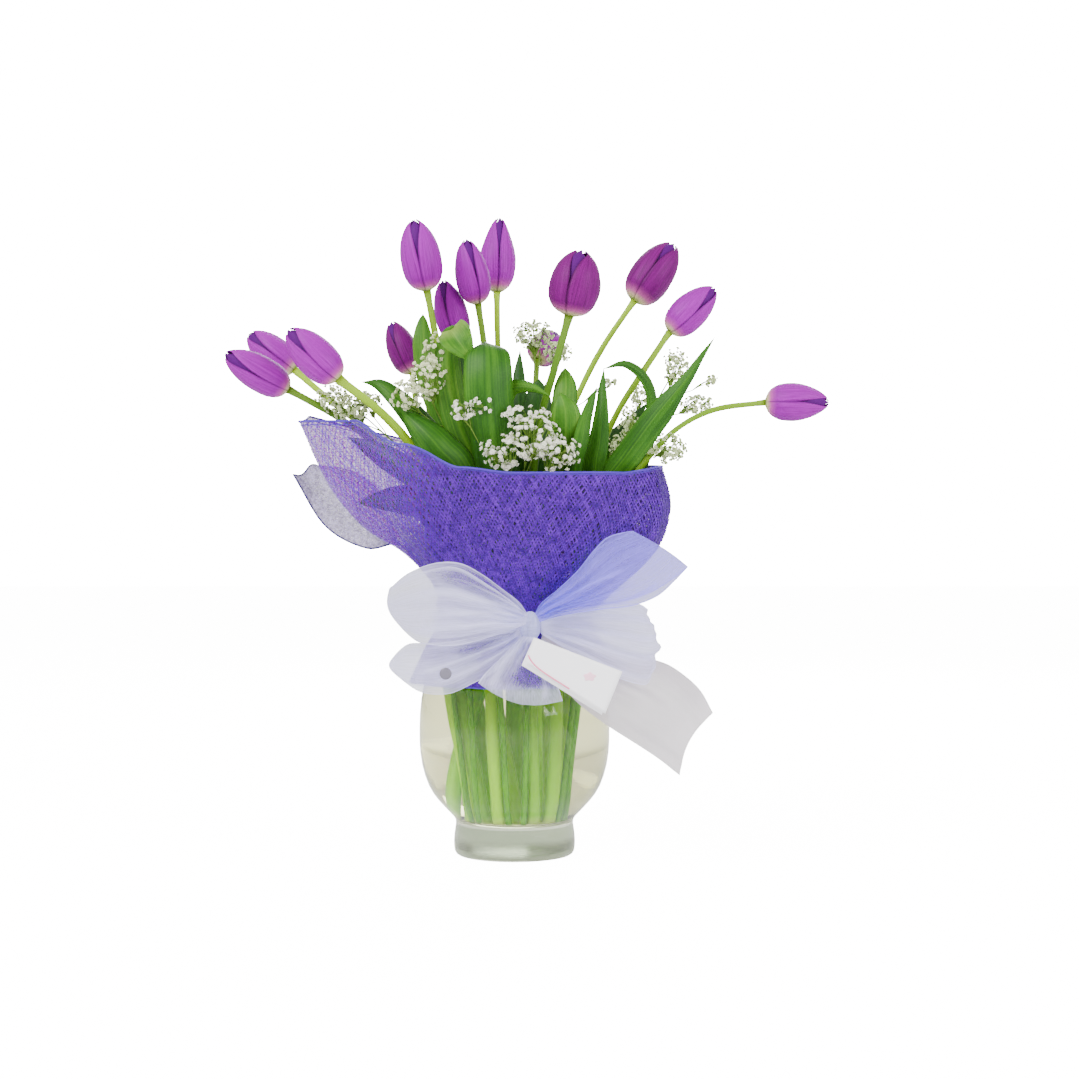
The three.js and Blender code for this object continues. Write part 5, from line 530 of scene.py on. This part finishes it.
for i, s_ in enumerate(SPRIGS):
    r = np.random.default_rng(300 + i); g = Build(); fl = Build(); ca = Build()
    c = even(catmull(s_["p"], 200), 60); tube(g, c, .55 + .4 * np.linspace(0, 1, 60) + 1.2 * sm((np.linspace(0, 1, 60) - .55) / .2), 8)
    back = i >= 4 or i == 0
    for q in s_["cl"]:
        ctr, size, fr = np.array(q["c"]), np.array(q["s"]), np.array(q["f"])
        mid = fr * .35 + ctr * .65 + np.array([0, 0, -size[2] * .9]) * .5
        tube(g, catmull([fr, fr * .6 + mid * .4 + r.normal(0, 1.2, 3), mid], 12), np.linspace(.6, .45, 12), 5)
        vol = size.prod(); cnt = int(min(64, max(8, 2.6 * (vol ** (2 / 3)) / 10.0)) * DENS * (2.1 if back else 1.12))
        tw = []
        for k in range(max(3, cnt // 5)):
            d = r.normal(0, 1, 3); d /= np.linalg.norm(d); p = ctr + d * size * (.45 + .2 * r.random()); p[2] -= size[2] * .12
            tw.append(p); tube(g, catmull([mid, mid * .5 + p * .5 + r.normal(0, .9, 3), p], 7), np.linspace(.36, .25, 7), 4, cap=False)
        for k in range(cnt):
            d = r.normal(0, 1, 3); d /= np.linalg.norm(d); p = ctr + d * size * (.62 + .42 * r.random())
            t_ = tw[int(np.argmin([np.linalg.norm(p - x) for x in tw]))]
            if np.linalg.norm(p - t_) > 1.5: tube(g, catmull([t_, t_ * .5 + p * .5 + r.normal(0, .5, 3), p], 5), .2, 3, cap=False)
            dr = unit((p - t_) + d * 3 + np.array([0, -1.2, 1.2])); M = rot_to(dr); V_, F_ = PROTO[int(r.integers(5))]
            sc = (1.7 + .75 * r.random()) * (.76 if back else .94); fl.add(p + (V_ * sc) @ M.T, F_)
            cone = np.array([[math.cos(x) * .5, math.sin(x) * .5, .25] for x in np.arange(5) * 1.2566] + [[0, 0, -.75]]) * sc
            ca.add(p + cone @ M.T, np.array([[k_, (k_ + 1) % 5, 5] for k_ in range(5)])[:, ::-1])
    A = own(g.make("gypsophila_stems_" + s_["n"], MAT["gyp"]), "sprig", "sprig_" + s_["n"])
    Bf = fl.make("gypsophila_flowers_" + s_["n"], MAT["floret_back" if back else "floret_mid" if i == 1 else "floret"], smooth=False); own(Bf, "sprig"); Cc = ca.make("gypsophila_buds_" + s_["n"], MAT["calyx"]); own(Cc, "sprig")

# ------------------------------------------------------------------ net wrap
WKEY = np.array(sorted(float(k) for k in WRAP)); WT = np.array([WRAP[str(int(k))] for k in WKEY])
def wrap_s(th, v, pleat=1.0):
    th = np.asarray(th, float); v = np.asarray(v, float); th, v = np.broadcast_arrays(th, v)
    n = len(WKEY); a = (th - WKEY[0]) % 360 + WKEY[0]; i = np.searchsorted(WKEY, a, side="right") - 1
    k0 = WKEY[i]; k1 = np.where(i + 1 < n, WKEY[(i + 1) % n], WKEY[0] + 360); w = (a - k0) / (k1 - k0); s = w * w * (3 - 2 * w)
    m = WT.shape[1] - 1; f = np.minimum(m - 1e-6, v * m); j = f.astype(int); x = f - j
    def cr(ii, c):
        g = lambda q: WT[ii, np.clip(j + q, 0, m), c]
        p0, p1, p2, p3 = g(-1), g(0), g(1), g(2)
        return .5 * (2 * p1 + (p2 - p0) * x + (2 * p0 - 5 * p1 + 4 * p2 - p3) * x * x + (3 * p1 - p0 - 3 * p2 + p3) * x ** 3)
    i2 = (i + 1) % n
    r = cr(i, 0) * (1 - s) + cr(i2, 0) * s; z = cr(i, 1) * (1 - s) + cr(i2, 1) * s
    tie = np.abs(v - 2 / 7); tr = np.radians(th)
    amp = pleat * np.where(v < 2 / 7, .5 + 6 * tie, .5 + 3.4 * np.minimum(tie, .45)) * np.cos(PLEATS * tr + 1.5 * np.sin(2 * tr))
    amp = amp + (.35 + 2.6 * tie * np.exp(-tie * 5)) * np.cos(31 * tr + 2.0 * np.sin(3 * tr) + .6) * .8
    r = r + amp
    r = np.maximum(r, np.interp(z, [190, 194, 196.5, 198.5, 202, 204, 208], [58, 60.5, 61.9, 62.3, 62.3, 61.2, 57]))   # the cloth lies outside the lip of the vase
    return np.stack([r * np.cos(tr), r * np.sin(tr), z], -1)
def wrap_n(th, v):
    e = .01; du = wrap_s(th + .3, v) - wrap_s(th - .3, v); dv = wrap_s(th, np.minimum(1, v + e)) - wrap_s(th, np.maximum(0, v - e))
    return unit(np.cross(du, dv))
def net(b, S, Nn, side, width, off):
    """flat yarn along each row of S (k, n, 3), Nn its normals, side its width direction"""
    k, n = S.shape[:2]; c = S + Nn * off[..., None]
    v = np.stack([c + side * width / 2, c - side * width / 2], 1)      # k,2,n,3
    base = b.n; b.v.append(v.reshape(-1, 3)); par = np.zeros((k, 2, n, 3)); par[..., 2] = np.arange(k)[:, None, None] * .37; b.a.append(par.reshape(-1, 3)); b.n += k * 2 * n
    K, J = np.meshgrid(np.arange(k), np.arange(n - 1), indexing="ij"); o = base + K * 2 * n + J
    b.f4.append(np.stack([o, o + 1, o + n + 1, o + n], -1).reshape(-1, 4))
def net_on(surf, norm, N, slope, nseg, width, lo, hi, offs, closed, sgn, jitter=.22, seed=1, vr=(0, 1), keep=None):
    r = np.random.default_rng(seed); b = Build()
    for fam, sg in enumerate((1, -1)):
        u0 = (np.arange(N) + r.normal(0, jitter, N)) / N * (hi - lo) + lo
        t = np.linspace(vr[0], vr[1], nseg)
        U = u0[:, None] + sg * slope * t[None] + r.normal(0, .03, (N, 1)); V_ = np.broadcast_to(t[None], U.shape)
        P_ = surf(U, V_); N_ = norm(U, V_); T = unit(np.gradient(P_, axis=1)); side = unit(np.cross(N_, T))
        ph = (np.arange(N)[:, None] + np.arange(nseg)[None]) * math.pi
        off = offs + (.14 if fam else -.14) + .05 * np.cos(ph)
        if keep is None: net(b, P_, N_, side, width, off if np.ndim(off) == 2 else np.broadcast_to(off, U.shape))
        else:
            K = keep(U, V_)
            for q in range(N):
                idx = np.flatnonzero(K[q])
                if len(idx) < 3: continue
                for seg in np.split(idx, np.flatnonzero(np.diff(idx) > 1) + 1):
                    if len(seg) < 3: continue
                    net(b, P_[q:q + 1, seg], N_[q:q + 1, seg], side[q:q + 1, seg], width, off[q:q + 1, seg])
    return b
offv = lambda: None
wb = net_on(wrap_s, wrap_n, NW, 58.0, 58, NWID, 0, 360, 0.0, True, 1, seed=5)
o = own(wb.make("wrap_net", MAT["net"]), "net", "wrap")
WRAPS = [o]
def surf_in(th, v):
    return wrap_s(th, v) - wrap_n(th, v) * .55
def sheet_of(name, surf, nu, nv, mat, closed):
    """single-layer cloth over the whole surface; also gives its area and length in mm"""
    if closed: U, V_ = np.meshgrid(np.linspace(0, 360, nu, endpoint=False), np.linspace(0, 1, nv), indexing="ij")
    else: U, V_ = np.meshgrid(np.linspace(0, 1, nu), np.linspace(0, 1, nv), indexing="ij")
    S = surf(U, V_); b = Build(); b.add(S, grid_faces(nu, nv, closed), np.stack([U / (360 if closed else 1), V_, U * 0], -1))
    W = np.concatenate([S, S[:1]]) if closed else S
    ar = np.linalg.norm(np.cross(W[1:, :-1] - W[:-1, :-1], W[:-1, 1:] - W[:-1, :-1]), axis=-1).sum()
    ln = np.linalg.norm(np.diff(S, axis=1), axis=-1).sum(1).mean()
    return own(b.make(name, mat), "net"), ar, ln
gz, ar, ln = sheet_of("wrap_gauze", surf_in, 420, 90, MAT["gauze"], True)
print("SHEET wrap area", round(ar), "length", round(ln), "width", round(ar / ln))
sel = Build(); th = np.linspace(0, 360, 361)[:-1]
def ring(b, v, r):
    c = wrap_s(th, np.full_like(th, v)); c = np.vstack([c, c[:1]]); tube(b, c, r, 6, cap=False)
ring(sel, 1.0, .9); ring(sel, .985, .35); ring(sel, 0.0, .7)
sv = own(sel.make("wrap_selvedge", MAT["cord"]), "net")
def threads(o):
    """area of the flat threads of a net, mm2"""
    me = o.data; n = len(me.polygons); a_ = np.zeros(n); me.polygons.foreach_get("area", a_); return float(a_.sum()) * 1e6
ta = threads(WRAPS[0])

def strip_s(A, B, u, v, drop=0, bow=0, bulge=0):
    n = 400; a, b_ = catmull(A, n), catmull(B, n); x = np.clip(u, 0, 1) * (n - 1)
    pa = np.stack([np.interp(x, np.arange(n), a[:, k]) for k in range(3)], -1); pb = np.stack([np.interp(x, np.arange(n), b_[:, k]) for k in range(3)], -1)
    p = pa + (pb - pa) * v[..., None]; s = np.sin(math.pi * np.clip(v, 0, 1))
    p[..., 0] += bulge * s * sm(2 - 2 * np.abs(2 * u - 1)); p[..., 2] -= drop * s * u * u; p[..., 1] -= bow * s * sm(u * 3); return p
def wing_s(u, v):
    p = strip_s(WING["A"], WING["B"], u, v); p[..., 1] += 5 * np.sin(math.pi * v) * sm(u * 1.5) + 1.6 * np.sin(v * 13 + 1) * sm(u * 2); p[..., 2] += 2.0 * np.sin(v * 7) * u; return p
def wing_n(u, v):
    e = .004; return unit(np.cross(wing_s(np.minimum(1, u + e), v) - wing_s(np.maximum(0, u - e), v), wing_s(u, np.minimum(1, v + e)) - wing_s(u, np.maximum(0, v - e))))
def wing_net():
    b = Build(); r = np.random.default_rng(4)
    for fam, sg in enumerate((1, -1)):
        for q in np.arange(-62, 66, 1.4):
            d = (q + r.normal(0, .12)) / 64
            t = np.linspace(0, 1, 48); U = t; V_ = d + sg * (t * 1.0) + (0 if sg > 0 else 1.0)
            k = np.flatnonzero((V_ >= 0) & (V_ <= 1))
            if len(k) < 3: continue
            U, V_ = U[k][None], V_[k][None]; P_ = wing_s(U, V_); N_ = wing_n(U, V_); T = unit(np.gradient(P_, axis=1))
            net(b, P_, N_, unit(np.cross(N_, T)), .5, np.full(U.shape, .14 if fam else -.14))
    return b
wn = own(wing_net().make("wrap_fold_net", MAT["net_pale"]), "net", "wrap_fold")
def wing_g(u, v): return wing_s(u, v) + wing_n(u, v) * .5
wg, ar, ln = sheet_of("wrap_fold_gauze", lambda U, V_: wing_g(U, V_), 110, 60, MAT["gauze_pale"], False)
wl = float(np.linalg.norm(np.diff(wing_s(np.linspace(0, 1, 60), np.full(60, .5)), axis=0), axis=1).sum())
print("SHEET fold area", round(ar), "length", round(wl), "mean width", round(ar / wl))
ta = threads(wn)
sb = Build(); t_ = np.linspace(0, 1, 60)
for U, V_ in ((t_, np.ones(60)), (np.ones(60), t_)): tube(sb, wing_s(U, V_), .75, 6)
fs = own(sb.make("wrap_fold_selvedge", MAT["cord_dark"]), "net")

# ------------------------------------------------------------------ bow
BULGE = {"bow_loop_top_left": -6, "bow_loop_low_left": -5, "bow_loop_low_right": 4, "bow_loop_top_right": 3}
# creases of each piece: [place across the ribbon at the knot, at the far end, half width, height mm, cover, far limit along 0..1]
CREASE = {"bow_loop_top_left": [[.07, .17, .06, -1.0, -1.6, .72], [.24, .10, .10, -.3, -.9, .9], [.30, .40, .03, 1.2, .9, .95], [.5, .62, .03, 1.0, .8, .8], [.75, .8, .025, 1.2, .9, 1]],
          "bow_loop_top_right": [[.18, .5, .03, 1.4, 1.0, .9], [.6, .72, .03, 1.0, .9, .8], [.85, .86, .03, 1.2, 1.0, 1], [.35, .3, .03, 1.0, .6, .6]],
          "bow_loop_low_right": [[.2, .15, .03, 1.2, .9, 1], [.45, .42, .03, 1.4, 1.0, .9], [.68, .7, .03, 1.2, 1.0, 1], [.88, .9, .03, 1.0, .9, .9]],
          "bow_loop_low_left": [[.2, .26, .17, -.6, -1.2, .66], [.4, .55, .03, 1.4, 1.0, 1], [.7, .8, .03, 1.2, .8, .9]],
          "bow_tail_centre": [[.15, .12, .04, 1.2, .9, 1], [.60, .60, .26, -.5, -1.3, .82], [.85, .8, .03, 1.0, .8, 1]],
          "bow_tail_right": [[.06, .1, .08, 1.0, .5, 1], [.4, .45, .02, .8, .3, .8]]}
def ribbon(name, nu, nv, wr, mat, drop=0, bow=0, seed=0, extra=None):
    k = BOW[name]; loop = len(k["A"]) > 9; r = np.random.default_rng(seed)
    U, V_ = np.meshgrid(np.linspace(0, 1, nu), np.linspace(0, 1, nv), indexing="ij")
    S = strip_s(k["A"], k["B"], U, V_, drop, bow, BULGE.get(name, 0))
    N = unit(np.cross(np.gradient(S, axis=0), np.gradient(S, axis=1)))
    near = (1 - np.abs(2 * U - 1)) if loop else U          # 0 at the knot, 1 at the far end
    amp = wr * (1 - .72 * sm(near)) * sm(near * 7) * ((1 - sm((near - .48) / .3)) if loop else 1)
    ph = r.random(6) * 6.28
    d = np.sin(V_ * 2 * math.pi * 3.2 + ph[0] + 1.1 * np.sin(U * 5 + ph[1])) * .55 + np.sin(V_ * 2 * math.pi * 6.3 + ph[2] + U * 3) * .28 + np.sin(V_ * 2 * math.pi * 1.4 + U * 4 + ph[3]) * .5
    d = d + (.5 - np.abs(np.sin(V_ * math.pi * 4.5 + ph[5] + .8 * np.sin(U * 6)))) * 1.1
    S = S + N * (amp * d)[..., None] + N * (wr * .35 * sm(near * 2) * ((1 - sm((near - .48) / .3)) if loop else 1) * np.sin(U * 13 + V_ * 5 + ph[4]))[..., None]
    cov = np.zeros_like(U)
    for v0, v1, wd, hh, cc, lim in CREASE[name]:
        g_ = np.exp(-((V_ - v0 - (v1 - v0) * near - .02 * np.sin(near * 6 + v0 * 20)) / (wd * (.5 + near))) ** 2) * (1 - sm((near - lim + .25) / .25)) * sm(near * 9)
        if loop: g_ = g_ * ((U < .5) if cc > 0 else 1) * (1 - sm((near - .84) / .15))
        S = S + N * (g_ * hh * ((1 - sm((near - .6) / .2)) if loop else 1))[..., None]; cov = cov + g_ * cc
    if name == "bow_tail_right": S[..., 0] -= 5.5 * np.sin(math.pi * V_) * U ** 4; S[..., 2] += 3.0 * np.sin(math.pi * V_) * U ** 4
    b = Build(); par = np.stack([U, V_, np.clip(1 - near * 2.2, 0, 1) + cov], -1)
    b.add(S, grid_faces(nu, nv), par)
    o = b.make(name + "_cloth", mat); own(o, "ribbon", name)
    return o
PAR = {"bow_loop_top_left": (110, 34, 4.2, "organza", 0, 0, 1), "bow_loop_top_right": (110, 34, 4.2, "organza_thin", 0, 0, 2), "bow_loop_low_right": (80, 30, 3.0, "organza", 0, 0, 3),
       "bow_loop_low_left": (90, 30, 3.4, "organza", 0, 0, 4), "bow_tail_centre": (50, 34, 3.0, "organza", 9, 3, 5), "bow_tail_right": (70, 36, 3.2, "organza_tail", 0, 5, 6)}
# knot: a gathered lump, and the band round the neck
b = Build(); nu, nv = 64, 34
a, q = np.meshgrid(np.linspace(0, 2 * math.pi, nu, endpoint=False), np.linspace(.06, math.pi - .06, nv), indexing="ij")
rad = 1 + .07 * np.sin(a * 9 + q * 2) + .05 * np.sin(a * 17 - q * 3)
S = KNOT + np.stack([7.4 * rad * np.cos(a) * np.sin(q), 6.8 * rad * np.sin(a) * np.sin(q), 11.5 * np.cos(q) * (1 + .05 * np.sin(a * 5))], -1)
ball(b, S, np.stack([a / 6.283, q / 3.1416, np.ones_like(a) * .5], -1), KFLIP)
own(b.make("bow_knot_cloth", MAT["organza_dense"]), "ribbon", "bow_knot")
b = Build(); nu, nv = 240, 12
a, q = np.meshgrid(np.linspace(0, 2 * math.pi, nu, endpoint=False), np.linspace(0, 1, nv), indexing="ij")
rr_ = 64.3 + .5 * np.sin(q * 19 + 2 * np.sin(a * 3)) + .4 * np.sin(a * 31 + q * 6) + 1.4 * (2 * q - 1) ** 2
S = np.stack([rr_ * np.cos(a), rr_ * np.sin(a), 180.5 + 13 * q + .8 * np.sin(a * 5)], -1)
b.add(S, grid_faces(nu, nv, True), np.stack([a / 6.283, q, np.zeros_like(a)], -1))
band = own(b.make("bow_band_cloth", MAT["organza"]), "ribbon")
ba = threads(band); print("SHEET band area", round(ba), "round", round(2 * math.pi * 65), "width", round(ba / 2 / math.pi / 65, 1))
for nme, (nu, nv, wr, mt, drop, bw, sd) in PAR.items(): ribbon(nme, nu, nv, wr, MAT[mt], drop, bw, sd)

# ------------------------------------------------------------------ card and disc
c = [np.array(x) + np.array([0, -5, 0]) for x in CARD["c"]]
U, V_ = np.meshgrid(np.linspace(0, 1, 20), np.linspace(0, 1, 12), indexing="ij")
def card_s(u, v, y=0.0):
    p = (c[0] * (1 - u[..., None]) + c[1] * u[..., None]) * (1 - v[..., None]) + (c[3] * (1 - u[..., None]) + c[2] * u[..., None]) * v[..., None]
    p[..., 1] += y + 1.2 * np.sin(u * 3.0) - .8; return p
b = Build(); thick(b, card_s(U, V_, -.55), np.stack([U, V_, U * 0], -1), .4)
Sb = card_s(U, V_, .45); Sb[..., 0] -= 2.6 * V_; Sb[..., 2] -= 3.0 * V_ * (1 - U * .6); Sb[..., 1] += 2.2 * V_
thick(b, Sb, np.stack([U, V_, U * 0], -1), .4)
own(b.make("gift_card_folded", MAT["card"]), "card", "gift_card")
b = Build()
t_ = np.linspace(0, 1, 40); tube(b, card_s(.008 + .54 * t_, .985 - .27 * np.exp(-t_ * 7) - .02 * t_, -.95), .55, 6)
own(b.make("gift_card_motif", MAT["pink"]), "card")
b = Build(); nu, nv = 28, 9; a, q = np.meshgrid(np.linspace(0, 2 * math.pi, nu, endpoint=False), np.linspace(.06, math.pi - .06, nv), indexing="ij")
ctr = card_s(np.array([.70]), np.array([.42]), -.8)[0]; wob = 1 + .14 * np.sin(a * 5 + .4)
ball(b, ctr + np.stack([4.4 * wob * np.cos(a) * np.sin(q), .35 * np.cos(q), 3.1 * wob * np.sin(a) * np.sin(q)], -1), np.zeros(a.shape + (3,)), False)
own(b.make("gift_card_flower", MAT["blush"]), "card")
b = Build(); prof = np.array([[1.2, .75], [3.0, .75], [4.1, .5], [4.55, 0], [4.1, -.5], [3.0, -.75], [1.2, -.75]])
a = np.arange(40) / 40 * 2 * math.pi
S = np.stack([BEAD[0] + prof[None, :, 0] * np.cos(a)[:, None], BEAD[1] - 7 - prof[None, :, 1] + 0 * a[:, None], BEAD[2] + prof[None, :, 0] * np.sin(a)[:, None]], -1)
ball(b, S, np.zeros_like(S), True); o = b.make("disc_button", MAT["disc"]); own(o, "disc", "disc")

# ------------------------------------------------------------------ stage, light, camera
sc = bpy.context.scene
me = bpy.data.meshes.new("floor"); me.from_pydata([(-6, -6, -.0004), (6, -6, -.0004), (6, 6, -.0004), (-6, 6, -.0004)], [], [(0, 1, 2, 3)]); fl = bpy.data.objects.new("floor", me)
sc.collection.objects.link(fl)
m = Mat("floor_white"); p = m.principled(Base_Color=(.86, .86, .86, 1), Roughness=.9); p.inputs["Specular IOR Level"].default_value = .1
e = m.n("ShaderNodeEmission"); e.inputs[0].default_value = (1, 1, 1, 1); lp = m.n("ShaderNodeLightPath"); m.l(m.math("MULTIPLY", lp.outputs["Is Camera Ray"], m.math("MULTIPLY_ADD", m.math("LESS_THAN", lp.outputs["Transparent Depth"], .5), FLOOR_E - .4, .4)), e.inputs[1])
ad = m.n("ShaderNodeAddShader"); m.l(p.outputs[0], ad.inputs[0]); m.l(e.outputs[0], ad.inputs[1]); me.materials.append(m.finish(ad.outputs[0]))
w = bpy.data.worlds.new("studio"); sc.world = w; w.use_nodes = True
wt_ = w.node_tree; bg = wt_.nodes["Background"]
tcw = wt_.nodes.new("ShaderNodeTexCoord"); sx = wt_.nodes.new("ShaderNodeSeparateXYZ"); wt_.links.new(tcw.outputs["Generated"], sx.inputs[0])
rw = wt_.nodes.new("ShaderNodeValToRGB"); rw.color_ramp.elements[0].position = .04; rw.color_ramp.elements[1].position = .26
rw.color_ramp.elements[0].color = (1, .985, .95, 1); rw.color_ramp.elements[1].color = (.80, .82, .72, 1); wt_.links.new(sx.outputs[2], rw.inputs[0])
lq = wt_.nodes.new("ShaderNodeLightPath"); mw = wt_.nodes.new("ShaderNodeMix"); mw.data_type = "RGBA"; wt_.links.new(lq.outputs["Is Camera Ray"], mw.inputs[0])
wt_.links.new(rw.outputs[0], mw.inputs[6]); mw.inputs[7].default_value = (1, 1, 1, 1); wt_.links.new(mw.outputs[2], bg.inputs[0])
lp = wt_.nodes.new("ShaderNodeLightPath"); mp = wt_.nodes.new("ShaderNodeMapRange")
mp.inputs["To Min"].default_value = WORLD; mp.inputs["To Max"].default_value = SKY
un = wt_.nodes.new("ShaderNodeMath"); un.operation = "LESS_THAN"; un.inputs[1].default_value = .5; wt_.links.new(lp.outputs["Transparent Depth"], un.inputs[0])
both = wt_.nodes.new("ShaderNodeMath"); both.operation = "MULTIPLY"; wt_.links.new(lp.outputs["Is Camera Ray"], both.inputs[0]); wt_.links.new(un.outputs[0], both.inputs[1])
wt_.links.new(both.outputs[0], mp.inputs["Value"]); wt_.links.new(mp.outputs["Result"], bg.inputs[1])
def area(name, loc, size, power, tgt=(0, 0, .25), col=(1, 1, 1)):
    li = bpy.data.lights.new(name, "AREA"); li.shape = "RECTANGLE"; li.size, li.size_y = size; li.energy = power; li.color = col
    o = bpy.data.objects.new(name, li); o.location = loc; sc.collection.objects.link(o)
    o.rotation_euler = (Vector(tgt) - Vector(loc)).to_track_quat("-Z", "Y").to_euler(); return o
area("key", (-1.3, -1.5, 1.9), (1.4, 1.4), KEY); area("fill", (1.7, -1.3, .9), (1.3, 1.3), FILL); area("back", (.4, 1.7, 1.3), (1.6, 1.2), BACK)
cam = bpy.data.cameras.new("camera"); co = bpy.data.objects.new("camera", cam); sc.collection.objects.link(co); sc.camera = co
cam.sensor_fit = "HORIZONTAL"; cam.sensor_width = 36; cam.lens = 2125 / 1079 * 36; cam.clip_end = 50
co.location = (.020, -1.6998, .2753); co.rotation_euler = (math.radians(90 - .8), 0, 0)
